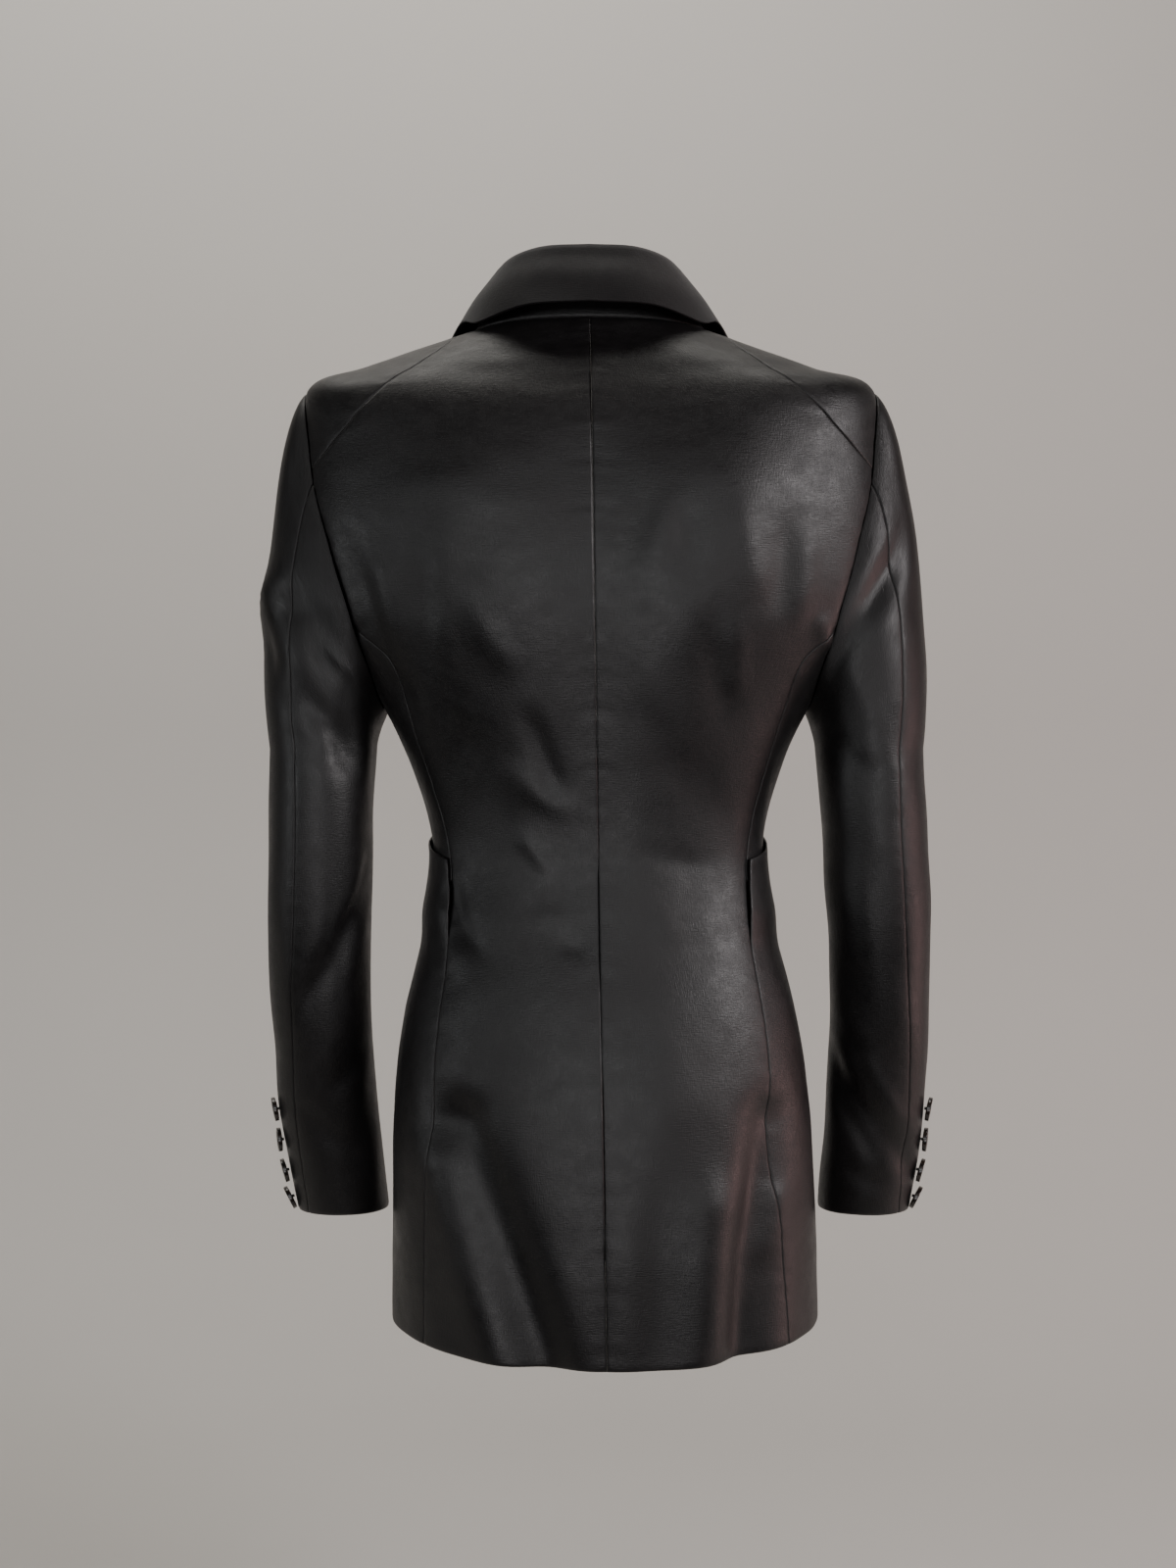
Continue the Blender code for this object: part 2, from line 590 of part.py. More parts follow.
def sleeve_cap(turn, share):
    """Places on the sleeve head, from the armhole at share 0 to the biceps ring at share 1."""
    edge = ARMHOLE((math.pi / 2 - turn) / (2 * math.pi))
    start = bare_body(edge[..., 0] / GIRTH_RADIUS, edge[..., 1])
    end = sleeve_ring(turn, np.full(np.shape(turn), BICEPS_Z))
    high = (1 + np.sin(turn)) / 2
    out = np.stack([0.35 + 0.59 * high, 0.30 * np.cos(turn), -0.93 + 0.58 * high], axis=-1)
    out = unit(out)
    start = start + out * ARMHOLE_GAP
    leave = out * (0.018 + 0.042 * high)[..., None]
    arrive = np.stack([-0.03 * high, 0.0 * high, -(0.03 + 0.23 * high)], axis=-1)
    f = np.asarray(share)[..., None]
    near = (1 + 2 * f) * (1 - f) ** 2 * start + f * (1 - f) ** 2 * leave
    return near + f * f * (3 - 2 * f) * end + f * f * (f - 1) * arrive


def sleeve_bare(turn, row):
    """Places on the sleeve at a row: 0 to 1 over the head, then 1 to 4 down to the cuff."""
    z = BICEPS_Z + (CUFF_Z - BICEPS_Z) * np.clip((row - 1) / 3, 0, 1)
    head = sleeve_cap(turn, np.clip(row, 0, 1))
    arm = sleeve_ring(turn, z)
    return np.where((row < 1)[..., None], head, arm)


def fold_span(points, start, end):
    """Distance along the arm from a fold that runs round it, fading past its ends."""
    turn, z = points[:, 0], points[:, 1]
    share = (turn - start[0]) / (end[0] - start[0])
    line = start[1] + (end[1] - start[1]) * share
    past = np.maximum(np.abs(share - 0.5) - 0.5, 0) * abs(end[0] - start[0]) / 25 * 0.02
    return np.hypot(z - line, past)


def sleeve_place(turn, row, side, lift=0.0):
    """Places on the dressed sleeve of one side, in the part's own frame."""
    step = 1e-3
    points = sleeve_bare(turn, row)
    around = sleeve_bare(turn + step, row) - points
    down = sleeve_bare(turn, np.minimum(row + step, 4)) - sleeve_bare(turn, np.maximum(row - step, 0))
    normal = unit(np.cross(around, down))
    degrees = (np.degrees(turn) + 180) % 360 - 180
    folds = fold_heights(np.stack([degrees, points[:, 2]], axis=-1), side, SLEEVE_FOLDS, fold_span)
    points = points + normal * (folds * ease(row, 0.0, 0.4) + lift)[:, None]
    return hang(points, side)


def sleeve_sheet(name, first, last, columns, side, material, collection):
    """A sleeve piece between two seams, each given by its angle at each row."""
    rows = np.concatenate([np.linspace(0, 1, CAP_ROWS, endpoint=False), np.linspace(1, 4, ARM_ROWS)])
    half_gap = SLEEVE_SEAM_GAP / 2 / 0.042
    turns, places = [], []
    for row in rows:
        start = math.radians(float(first(row)[0])) + half_gap
        end = math.radians(float(last(row)[0])) - half_gap
        turns.append(np.linspace(start, end, columns))
        places.append(np.full(columns, row))
    points = sleeve_place(np.concatenate(turns), np.concatenate(places), side)
    faces = []
    for row in range(len(rows) - 1):
        for column in range(columns - 1):
            corner = row * columns + column
            face = (corner, corner + columns, corner + columns + 1, corner + 1)
            faces.append(face if side < 0 else face[::-1])
    return add_sheet(name, points, faces, WALL, material, collection)


def build_sleeve(side, name, materials, collection):
    hind = Smooth(SLEEVE_SEAM_PLACES, [[turn] for turn in HIND_SEAM])
    hind_again = Smooth(SLEEVE_SEAM_PLACES, [[turn + 360] for turn in HIND_SEAM])
    fore = Smooth(SLEEVE_SEAM_PLACES, [[turn] for turn in FORE_SEAM])
    sleeve_sheet(f"top_sleeve_{name}", hind, fore, 14, side, materials["satin"], collection)
    sleeve_sheet(f"under_sleeve_{name}", fore, hind_again, 11, side, materials["satin"], collection)


def button_mesh(name, radius, material):
    """A turned button with its thread shank, standing on z = 0."""
    top = SHANK_LENGTH + BUTTON_THICKNESS
    dish = radius * 0.72
    profile = (
        (0.0, top - 0.0006), (dish, top - 0.0006), (radius * 0.82, top), (radius * 0.95, top - 0.0004),
        (radius, SHANK_LENGTH + BUTTON_THICKNESS / 2), (radius * 0.93, SHANK_LENGTH + 0.0003),
        (SHANK_RADIUS, SHANK_LENGTH), (SHANK_RADIUS, 0.0), (0.0, 0.0),
    )
    mesh = bpy.data.meshes.new(name)
    edges = [(index, index + 1) for index in range(len(profile) - 1)]
    mesh.from_pydata([(x, 0.0, z) for x, z in profile], edges, [])
    mesh.materials.append(material)
    return mesh


def add_button(name, radius, place, facing, material, collection):
    """A button whose shank starts at a place and points along a direction."""
    piece = bpy.data.objects.new(name, button_mesh(name, radius, material))
    collection.objects.link(piece)
    turned = piece.modifiers.new("Turned", "SCREW")
    turned.steps = turned.render_steps = 16
    turned.use_merge_vertices = True
    turned.merge_threshold = 0.00001
    turned.use_smooth_shade = True
    piece.location = place
    piece.rotation_mode = "QUATERNION"
    piece.rotation_quaternion = Vector(facing).to_track_quat("Z", "Y")
    return piece


def sleeve_row_at(z):
    return 1 + 3 * (z - BICEPS_Z) / (CUFF_Z - BICEPS_Z)


def build_cuff_buttons(side, name, materials, collection):
    for number, (z, tilt) in enumerate(zip(CUFF_BUTTON_LEVELS, CUFF_BUTTON_TILTS), start=1):
        turn, row = np.array([CUFF_BUTTON_ANGLE]), np.array([sleeve_row_at(z)])
        foot = sleeve_place(turn, row, side, BUTTON_CLEARANCE)[0]
        above = sleeve_place(turn, row, side, 0.01 + BUTTON_CLEARANCE)[0]
        facing = unit(above - foot)
        facing = unit(facing - np.array([0.0, 0.0, math.tan(math.radians(tilt))]))
        slide = max(0.0, math.sin(math.radians(abs(tilt)))) * SHANK_RADIUS
        place = foot + facing * slide
        add_button(
            f"cuff_button_{name}_{number}", CUFF_BUTTON_RADIUS, place, facing,
            materials["horn button"], collection,
        )


def build_front_button(materials, collection):
    """The button comes from the left front and sits on the right one, at the centre front."""
    angle, level = np.array([math.pi]), np.array([FRONT_BUTTON_LEVEL])
    lift = right_front_lift(flat(angle, level))
    foot = body_place(angle, level, -1, lift + BUTTON_CLEARANCE)[0]
    above = body_place(angle, level, -1, lift + 0.01 + BUTTON_CLEARANCE)[0]
    add_button(
        "front_button", FRONT_BUTTON_RADIUS, foot, unit(above - foot), materials["horn button"], collection
    )


def main():
    clear_scene()
    collection = make_collection("Blazer")
    materials = {name: make_material(name) for name in FINISHES}
    lines = make_lines()
    for side, name in ((1, "left"), (-1, "right")):
        build_body(side, name, lines, materials, collection)
        build_sleeve(side, name, materials, collection)
        build_cuff_buttons(side, name, materials, collection)
    build_collar(materials, collection)
    build_front_button(materials, collection)


main()
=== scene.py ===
"""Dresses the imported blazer: black satin cloth with its seams and creases, buttons, light and camera.

+Z is up, the front faces -Y and the wearer's left is +X. Sizes are in metres. Each cloth piece
is laid on the same form as its solid, with a fine grid, turned-in seam edges and soft creases.
"""

from __future__ import annotations

import logging
import math
from collections.abc import Callable, Sequence
from dataclasses import dataclass, field
from enum import Enum

import bpy
import numpy as np
from bpy.types import ID, Material, MeshPolygon, Node, NodeSocket, NodeTree, Object
from mathutils import Matrix, Vector
from mathutils.geometry import delaunay_2d_cdt

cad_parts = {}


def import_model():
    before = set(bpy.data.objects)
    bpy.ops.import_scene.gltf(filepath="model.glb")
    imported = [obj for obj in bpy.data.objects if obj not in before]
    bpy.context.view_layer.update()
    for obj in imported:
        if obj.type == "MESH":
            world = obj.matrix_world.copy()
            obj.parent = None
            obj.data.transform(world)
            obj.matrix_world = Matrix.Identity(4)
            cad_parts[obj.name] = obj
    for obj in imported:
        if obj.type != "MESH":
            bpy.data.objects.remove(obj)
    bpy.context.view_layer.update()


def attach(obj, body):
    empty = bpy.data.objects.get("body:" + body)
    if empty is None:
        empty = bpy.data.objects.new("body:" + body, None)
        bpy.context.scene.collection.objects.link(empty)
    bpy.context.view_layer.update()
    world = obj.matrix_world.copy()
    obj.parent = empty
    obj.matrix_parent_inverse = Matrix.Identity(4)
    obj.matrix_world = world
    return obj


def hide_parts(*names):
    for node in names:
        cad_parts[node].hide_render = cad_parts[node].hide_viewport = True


LOG = logging.getLogger("blazer")

LEAN = 0.0157  # the hang drifts this far to the wearer's right for each metre of drop
GIRTH_RADIUS = 0.13  # turns an angle round the body into a length on the cutting table
SLEEVE_RADIUS = 0.042  # the same for a sleeve
CLOTH_WALL = 0.0011
COLLAR_WALL = 0.0016
FINE_STEP = 0.0042  # spacing of the cloth's points
SEAM_HALF_GAP = 0.00001  # half the slit at a seam of the body
SLEEVE_SEAM_HALF_GAP = 0.00002
ARMHOLE_GAP = 0.0003
FAR = 9.0  # further than any distance on the jacket

# The picture: its rows, its focal length in pixels, the column of the centre back and the camera's row.
PICTURE_ROWS, PICTURE_FOCUS, CENTRE_COLUMN, CAMERA_ROW = 1600, 2100, 602, 820
CAMERA_Y, CAMERA_Z = 1.5, -0.340
BACK_DEPTH, SLEEVE_DEPTH = 0.09, 0.02  # where the traced cloth lies, front to back
EDGE_ON = 0.98  # a pixel past this share of a sleeve's half width is taken as at it

Table = np.ndarray  # rows of flat places
Value = np.ndarray | float  # one number or many
Spot = tuple[float, float]
Colour = tuple[float, float, float]


class Side(Enum):
    """The wearer's side that a piece belongs to."""

    LEFT = 1
    RIGHT = -1

    @property
    def label(self) -> str:
        """The word used in node names."""
        return self.name.lower()


class EdgeKind(Enum):
    """How an edge of a cloth piece is finished: depth and width of its turned-in band."""

    SEAM = (0.00032, 0.0010)
    ARMHOLE = (0.0009, 0.0018)
    FOLD = (0.0005, 0.0012)
    LAP = (0.0003, 0.0009)


class Smooth:
    """A smooth curve through rows of values, one row at each knot."""

    def __init__(self, knots: Sequence[float], rows: Sequence[Sequence[float]]) -> None:
        """Keeps the rows and the slopes between them.

        Args:
            knots: Rising places along the curve.
            rows: The values at each knot.
        """
        self.knots = np.array(knots, float)
        self.rows = np.array(rows, float)
        self.slopes = np.gradient(self.rows, self.knots, axis=0)

    def __call__(self, place: Value) -> np.ndarray:
        """Gives the values at a place.

        Args:
            place: One place or many.

        Returns:
            One row of values for each place.
        """
        place = np.asarray(place, float)
        low = np.clip(np.searchsorted(self.knots, place, side="right") - 1, 0, len(self.knots) - 2)
        width = (self.knots[low + 1] - self.knots[low])[..., None]
        f = np.clip((place - self.knots[low])[..., None] / width, -0.3, 1.3)
        start = (1 + 2 * f) * (1 - f) ** 2 * self.rows[low] + f * (1 - f) ** 2 * width * self.slopes[low]
        end = f * f * (3 - 2 * f) * self.rows[low + 1] + f * f * (f - 1) * width * self.slopes[low + 1]
        return start + end


def unit(vectors: np.ndarray) -> np.ndarray:
    """Vectors of length one."""
    return vectors / np.linalg.norm(vectors, axis=-1, keepdims=True)


def ease(value: np.ndarray, start: float, end: float) -> np.ndarray:
    """0 before the start, 1 after the end, with a soft step between."""
    share = np.clip((value - start) / (end - start), 0, 1)
    return share * share * (3 - 2 * share)


def hang(points: np.ndarray, side: Side) -> np.ndarray:
    """Mirrors points of the left side where needed and lets them drift with the hang."""
    points = np.array(points, float)
    points[..., 0] = side.value * points[..., 0] + LEAN * points[..., 2]
    return points


def segment_place(points: Table, start: Sequence[float], end: Sequence[float]) -> tuple[Table, Table]:
    """Distance of flat points from a segment, and the share along it of the nearest place."""
    origin, run = np.array(start, float), np.subtract(end, start)
    along = np.clip(((points - origin) @ run) / (run @ run), 0, 1)
    return np.linalg.norm(points - origin - along[:, None] * run, axis=1), along


def lengths_along(points: np.ndarray) -> np.ndarray:
    """Length of a line of points up to each of them."""
    return np.concatenate([[0], np.cumsum(np.linalg.norm(np.diff(points, axis=0), axis=1))])


def bell(distance: np.ndarray, width: float) -> np.ndarray:
    """1 on a line, and softly down to nothing at about two widths from it."""
    return np.exp(-((distance / width) ** 2))


def line_distance(points: Table, line: Table) -> np.ndarray:
    """Distance of flat points from a line of points."""
    nearest = np.full(len(points), FAR)
    for start, end in zip(line, line[1:]):
        nearest = np.minimum(nearest, segment_place(points, start, end)[0])
    return nearest


@dataclass(frozen=True)
class Fold:
    """A main fold that the solid has too: a straight ridge or trough between two places."""

    side: Side
    start: Spot
    end: Spot
    width: float
    height: float


@dataclass(frozen=True)
class Crease:
    """A soft ridge or trough in the cloth along a path, dying out at both ends."""

    path: tuple[Spot, ...]
    width: float
    height: float
    sharpness: float = 2.0

    def height_at(self, points: Table) -> np.ndarray:
        """Gives how far the crease lifts each point.

        Args:
            points: Flat places in the same measure as the path.

        Returns:
            One height for each point.
        """
        line = np.array(self.path, float)
        lengths = lengths_along(line)
        nearest = np.full(len(points), FAR)
        share = np.zeros(len(points))
        for index in range(len(line) - 1):
            distance, along = segment_place(points, line[index], line[index + 1])
            closer = distance < nearest
            nearest = np.where(closer, distance, nearest)
            here = (lengths[index] + along * (lengths[index + 1] - lengths[index])) / lengths[-1]
            share = np.where(closer, here, share)
        fade = ease(share, -0.02, 0.35) * ease(1 - share, -0.02, 0.35)
        return self.height * fade * np.exp(-((nearest / self.width) ** self.sharpness))


@dataclass(frozen=True)
class Ripple:
    """Low uneven waves over a whole cloth surface, the same at each run."""

    seed: int
    length: float
    height: float
    stretch: float = 1.0
    count: int = 16

    def height_at(self, points: Table) -> np.ndarray:
        """Gives the height of the waves at each flat point."""
        chance = np.random.default_rng(self.seed)
        total = np.zeros(len(points))
        for _ in range(self.count):
            heading = chance.uniform(0, 2 * math.pi)
            size = chance.uniform(0.6, 1.7)
            phase = chance.uniform(0, 6.28)
            wave = np.array([math.cos(heading), math.sin(heading) / self.stretch]) * 2 * math.pi
            total += np.sin(points @ wave / (self.length * size) + phase)
        return self.height * total / math.sqrt(self.count)


@dataclass(frozen=True)
class Pucker:
    """Small uneven waves of two lengths that stitches draw into the cloth beside a seam."""

    length: float
    second_length: float
    second_share: float
    second_phase: float
    reach: float
    height: float = 0.00013

    def height_at(self, along: np.ndarray, distance: np.ndarray) -> np.ndarray:
        """Gives the height of the waves, by the length along the seam and the distance from it."""
        second = np.sin(along * 2 * math.pi / self.second_length + self.second_phase)
        wave = np.sin(along * 2 * math.pi / self.length) + self.second_share * second
        return self.height * wave * bell(distance, self.reach)


def seen_at(pixel: Spot, depth: float) -> Spot:
    """Distance from the centre back, to the wearer's left, and height of what is seen at a pixel."""
    scale = PICTURE_FOCUS / (CAMERA_Y - depth)
    z = CAMERA_Z - (pixel[1] - CAMERA_ROW) / scale
    return (CENTRE_COLUMN - pixel[0]) / scale - LEAN * z, z


def back_place(pixel: Spot, side: Side) -> Spot:
    """Distance from centre and height, to the millimetre, of the back seen at a pixel."""
    x, z = seen_at(pixel, BACK_DEPTH)
    return round(x * side.value, 3), round(z, 3)


def traced(
    rows: Sequence[tuple], side: Side, place: Callable[[Spot, Side], Spot], depth: float
) -> tuple[Crease, ...]:
    """Turns creases traced on the picture into creases of the cloth.

    Args:
        rows: Path and half width in pixels, height in millimetres and, where given, sharpness of each.
        side: The wearer's side.
        place: Turns a pixel into a place on the cloth.
        depth: Where the cloth lies, front to back.

    Returns:
        The creases, in the same order.
    """
    scale = PICTURE_FOCUS / (CAMERA_Y - depth)
    creases = []
    for path, width, height, *sharpness in rows:
        places = tuple(place(pixel, side) for pixel in path)
        creases.append(Crease(places, round(width / scale, 4), round(height / 1000, 4), *sharpness))
    return tuple(creases)


BODY_PUCKER = Pucker(0.013, 0.0205, 0.7, 1.3, 0.010)
SLEEVE_PUCKER = Pucker(0.014, 0.023, 0.6, 0.8, 0.008)
PUCKER_RUN = np.array([0.35, 1.0])  # the way the body's puckers follow each other on the cutting table


# The rings' level, heights at the back, side and front, half width, depths back and front, and squareness.
BODY_RINGS = (
    # level   back_z   side_z   front_z  width   back    front   power
    (-0.718, -0.7215, -0.7115, -0.7200, 0.1540, 0.1200, 0.1130, 2.15),
    (-0.640, -0.6420, -0.6370, -0.6400, 0.1530, 0.1170, 0.1120, 2.20),
    (-0.560, -0.5600, -0.5580, -0.5600, 0.1512, 0.1090, 0.1080, 2.25),
    (-0.490, -0.4900, -0.4900, -0.4900, 0.1415, 0.0950, 0.1020, 2.30),
    (-0.425, -0.4250, -0.4250, -0.4250, 0.1260, 0.0790, 0.0930, 2.30),
    (-0.372, -0.3720, -0.3720, -0.3720, 0.1198, 0.0710, 0.0890, 2.30),
    (-0.322, -0.3220, -0.3220, -0.3220, 0.1315, 0.0760, 0.1000, 2.25),
    (-0.270, -0.2700, -0.2700, -0.2700, 0.1550, 0.0870, 0.1170, 2.20),
    (-0.210, -0.2100, -0.2100, -0.2150, 0.1960, 0.0950, 0.1170, 2.25),
    (-0.150, -0.1500, -0.1470, -0.1620, 0.2080, 0.0960, 0.1040, 2.30),
    (-0.095, -0.1030, -0.0920, -0.1230, 0.2085, 0.0920, 0.0870, 2.40),
    (-0.045, -0.0660, -0.0410, -0.0980, 0.2050, 0.0830, 0.0670, 2.50),
    (0.010, -0.0360, -0.0255, -0.0920, 0.1640, 0.0710, 0.0600, 2.45),
    (0.060, -0.0120, -0.0095, -0.0980, 0.1180, 0.0580, 0.0600, 2.30),
    (0.095, 0.0030, 0.0000, -0.1080, 0.0850, 0.0500, 0.0750, 2.60),
)
HEM_LEVEL, NECK_LEVEL, SHOULDER_LEVEL, UNDERARM_LEVEL = -0.718, 0.095, -0.045, -0.270
BREAK_LEVEL = -0.335

# The main folds of the back, as in the solids: distance from centre, height.
BACK_FOLDS = (
    Fold(Side.LEFT, (0.098, -0.560), (0.034, -0.740), 0.019, -0.0085),
    Fold(Side.LEFT, (0.112, -0.590), (0.066, -0.740), 0.020, 0.0055),
    Fold(Side.RIGHT, (0.118, -0.560), (0.090, -0.740), 0.018, -0.0085),
    Fold(Side.RIGHT, (0.078, -0.620), (0.060, -0.740), 0.022, 0.0045),
    Fold(Side.LEFT, (0.075, -0.190), (0.095, -0.130), 0.045, 0.0050),
    Fold(Side.RIGHT, (0.075, -0.190), (0.095, -0.130), 0.045, 0.0050),
    Fold(Side.LEFT, (0.000, -0.270), (0.000, -0.110), 0.030, -0.0035),
    Fold(Side.RIGHT, (0.000, -0.270), (0.000, -0.110), 0.030, -0.0035),
)

# Creases of the back of each side, traced on the picture, the lowest ones led on past the hem: path in
# pixels, half width in pixels, height in millimetres.
BACK_TRACES: dict[Side, tuple[tuple, ...]] = {
    Side.LEFT: (
        (((340, 524), (372, 620), (412, 740)), 16, -3.0),
        (((366, 520), (396, 610), (428, 720), (444, 800)), 16, 2.2),
        (((400, 572), (412, 660), (420, 760)), 13, -2.2),
        (((436, 548), (434, 620), (432, 720)), 13, -1.8),
        (((460, 500), (450, 600), (452, 700)), 18, 1.6),
        (((464, 588), (500, 648), (536, 700)), 16, 1.8),
        (((532, 712), (556, 776), (575, 830)), 12, -2.4),
        (((500, 770), (552, 812), (600, 832)), 14, 1.8),
        (((524, 846), (545, 872), (566, 896)), 8, 1.6),
        (((470, 700), (486, 790), (510, 868)), 22, -1.6),
        (((453, 894), (466, 939), (493, 989)), 10, -1.8),
        (((440, 900), (452, 960), (470, 1010)), 12, 1.4),
        (((568, 960), (600, 975)), 9, -0.8),
        (((540, 930), (580, 944)), 10, 0.8),
        (((470, 1100), (495, 1180), (530, 1270), (586, 1480)), 22.3, -0.9),
        (((440, 1150), (470, 1230), (500, 1310), (548, 1469)), 22.3, 0.9),
        (((560, 1150), (575, 1260), (600, 1459)), 28.3, 1.0),
    ),
    Side.RIGHT: (
        (((692, 492), (676, 540), (656, 600)), 14, 1.8),
        (((694, 500), (704, 560), (708, 620)), 14, -1.6),
        (((752, 500), (762, 560), (776, 620)), 16, 1.8),
        (((728, 560), (730, 660), (744, 760)), 20, -1.6),
        (((800, 512), (800, 580), (794, 640)), 13, -1.8),
        (((828, 520), (826, 590), (812, 650)), 13, 1.8),
        (((748, 620), (752, 660), (752, 720)), 12, 1.5),
        (((841, 622), (848, 640), (851, 664)), 9, 2.2),
        (((640, 700), (690, 780), (750, 850)), 24, -1.4),
        (((640, 860), (680, 880), (740, 886)), 12, -1.0),
        (((650, 940), (700, 950), (750, 935)), 16, 0.9),
        (((785, 1120), (776, 1190), (757, 1280), (755, 1459)), 12, -2.0),
        (((808, 1200), (792, 1262), (780, 1300)), 14, 3.0),
        (((730, 1160), (722, 1260), (728, 1450)), 22, 1.8),
        (((690, 1130), (672, 1240), (669, 1450)), 20, -1.2),
        (((640, 1180), (636, 1280), (641, 1459)), 20, 1.0),
    ),
}
BACK_CREASES = {side: traced(rows, side, back_place, BACK_DEPTH) for side, rows in BACK_TRACES.items()}
# Creases of the front of each side, which the picture doesn't show: distance from centre, height.
FRONT_CREASES: dict[Side, tuple[Crease, ...]] = {
    Side.LEFT: (
        Crease(((0.120, -0.190), (0.100, -0.260), (0.060, -0.330)), 0.0120, -0.0022),
        Crease(((0.092, -0.330), (0.060, -0.350), (0.020, -0.358)), 0.0090, 0.0018),
        Crease(((0.090, -0.370), (0.056, -0.372), (0.016, -0.366)), 0.0070, -0.0014),
        Crease(((0.100, -0.430), (0.084, -0.540), (0.080, -0.640)), 0.0150, 0.0018),
        Crease(((0.052, -0.480), (0.046, -0.600), (0.050, -0.780)), 0.0150, -0.0020),
        Crease(((0.130, -0.130), (0.146, -0.180), (0.140, -0.230)), 0.0110, 0.0018),
    ),
    Side.RIGHT: (
        Crease(((0.126, -0.180), (0.096, -0.270), (0.052, -0.336)), 0.0130, -0.0024),
        Crease(((0.088, -0.322), (0.050, -0.346), (0.006, -0.356)), 0.0080, 0.0016),
        Crease(((0.094, -0.386), (0.050, -0.380), (0.004, -0.368)), 0.0080, -0.0014),
        Crease(((0.090, -0.440), (0.070, -0.540), (0.072, -0.660)), 0.0160, 0.0020),
        Crease(((0.040, -0.500), (0.032, -0.620), (0.040, -0.790)), 0.0140, -0.0018),
        Crease(((0.110, -0.560), (0.104, -0.640), (0.110, -0.780)), 0.0120, -0.0016),
    ),
}


class BodyForm:
    """The worn body of the jacket as rings from the hem to the neck."""

    def __init__(self) -> None:
        """Makes the smooth rings and measures the armhole."""
        self.rings = Smooth([row[0] for row in BODY_RINGS], [row[1:] for row in BODY_RINGS])
        self.armhole, self.armhole_shares, self.armhole_table = self._armhole_loop()

    def ring(self, level: Value) -> tuple[np.ndarray, ...]:
        """The heights, half width, depths and squareness at a level, in the order of the table."""
        return tuple(np.moveaxis(self.rings(level), -1, 0))

    def bare(self, angle: np.ndarray, level: np.ndarray) -> np.ndarray:
        """Gives places on the body before folds, on the left side.

        Args:
            angle: Turn from the centre back, growing to the side.
            level: Level from the hem to the neck.

        Returns:
            One point in space for each pair.
        """
        back_z, side_z, front_z, half_width, back, front, power = self.ring(level)
        sine, cosine = np.sin(angle), np.cos(angle)
        reach = (np.abs(sine) ** power + np.abs(cosine) ** power) ** (1 / power)
        depth = np.where(cosine > 0, back, front)
        end_z = np.where(cosine > 0, back_z, front_z)
        height = side_z + (end_z - side_z) * cosine**2
        return np.stack([half_width * sine / reach, depth * cosine / reach, height], axis=-1)

    def place(self, table: Table, side: Side, lift: Value = 0.0, fine: bool = True) -> np.ndarray:
        """Gives places on the dressed body.

        Args:
            table: Places on the cutting table.
            side: The wearer's side.
            lift: Distance off the surface.
            fine: Whether the small creases are added to the main folds.

        Returns:
            Points in the part's own frame.
        """
        step = 1e-4
        angle, level = table[:, 0] / GIRTH_RADIUS, table[:, 1]
        points = self.bare(angle, level)
        across = self.bare(angle + step, level) - points
        upward = self.bare(angle, level + step) - points
        normal = unit(np.cross(upward, across))
        seen = points[:, [0, 2]]
        on_back = np.clip(np.cos(angle) * 4, 0, 1)
        on_front = np.clip(-np.cos(angle) * 4, 0, 1)
        folds = np.zeros(len(points))
        for fold in BACK_FOLDS:
            if fold.side is side:
                distance, _ = segment_place(seen, fold.start, fold.end)
                folds += fold.height * bell(distance, fold.width)
        if fine:
            for crease in BACK_CREASES[side]:
                folds += crease.height_at(seen)
            folds *= on_back
            for crease in FRONT_CREASES[side]:
                folds += crease.height_at(seen) * on_front
            for ripple in BODY_RIPPLES[side]:
                folds += ripple.height_at(table)
        else:
            folds *= on_back
        return hang(points + normal * (folds + lift)[:, None], side)

    def angle_on(self, level: Value, x: Value, front: bool = False) -> np.ndarray:
        """Gives the angle at a distance from the centre.

        Args:
            level: The level.
            x: Distance from the centre, under 0 past the centre front.
            front: Whether the place is on the front.

        Returns:
            The angle, or one for each level.
        """
        _, _, _, half_width, _, _, power = self.ring(level)
        lateral = np.clip(np.abs(x) / half_width, 0, 1)
        axial = (1 - lateral**power) ** (1 / power)
        angle = np.arctan2(lateral, axial) * np.where(np.asarray(x) < 0, -1, 1)
        return math.pi - angle if front else angle

    def locate(self, x: float, z: float, front: bool = False) -> Spot:
        """The angle and level of the place seen at a distance from the centre and a height."""
        low, high = BREAK_LEVEL - 0.005, NECK_LEVEL
        for _ in range(40):
            level = (low + high) / 2
            reachable = self.ring(level)[3] > abs(x)
            angle = self.angle_on(level, x, front)
            if reachable and self.bare(angle, np.float64(level))[2] < z:
                low = level
            else:
                high = level
        return float(self.angle_on(low, x, front)), low

    def _armhole_loop(self) -> tuple[Callable[[np.ndarray], Table], np.ndarray, Table]:
        """The armhole edge on the cutting table as a function of the share of its length."""
        back = [flat(self.angle_on(level, x), level) for level, x in ARMHOLE_BACK]
        front = [flat(self.angle_on(level, x, True), level) for level, x in ARMHOLE_FRONT]
        top = flat(math.pi / 2, SHOULDER_LEVEL)
        bottom = flat(math.pi / 2, UNDERARM_LEVEL)
        loop = np.array([*front[-2:], top, *back, bottom, *front, top, *back[:2]])
        knots = lengths_along(loop)
        curve = Smooth(knots, loop)
        fine = np.linspace(knots[2], knots[-3], ARMHOLE_POINTS)
        table = curve(fine)
        solid = self.bare(table[:, 0] / GIRTH_RADIUS, table[:, 1])
        shares = lengths_along(solid)
        shares /= shares[-1]
        return lambda share: curve(np.interp(np.asarray(share) % 1.0, shares, fine)), shares, table

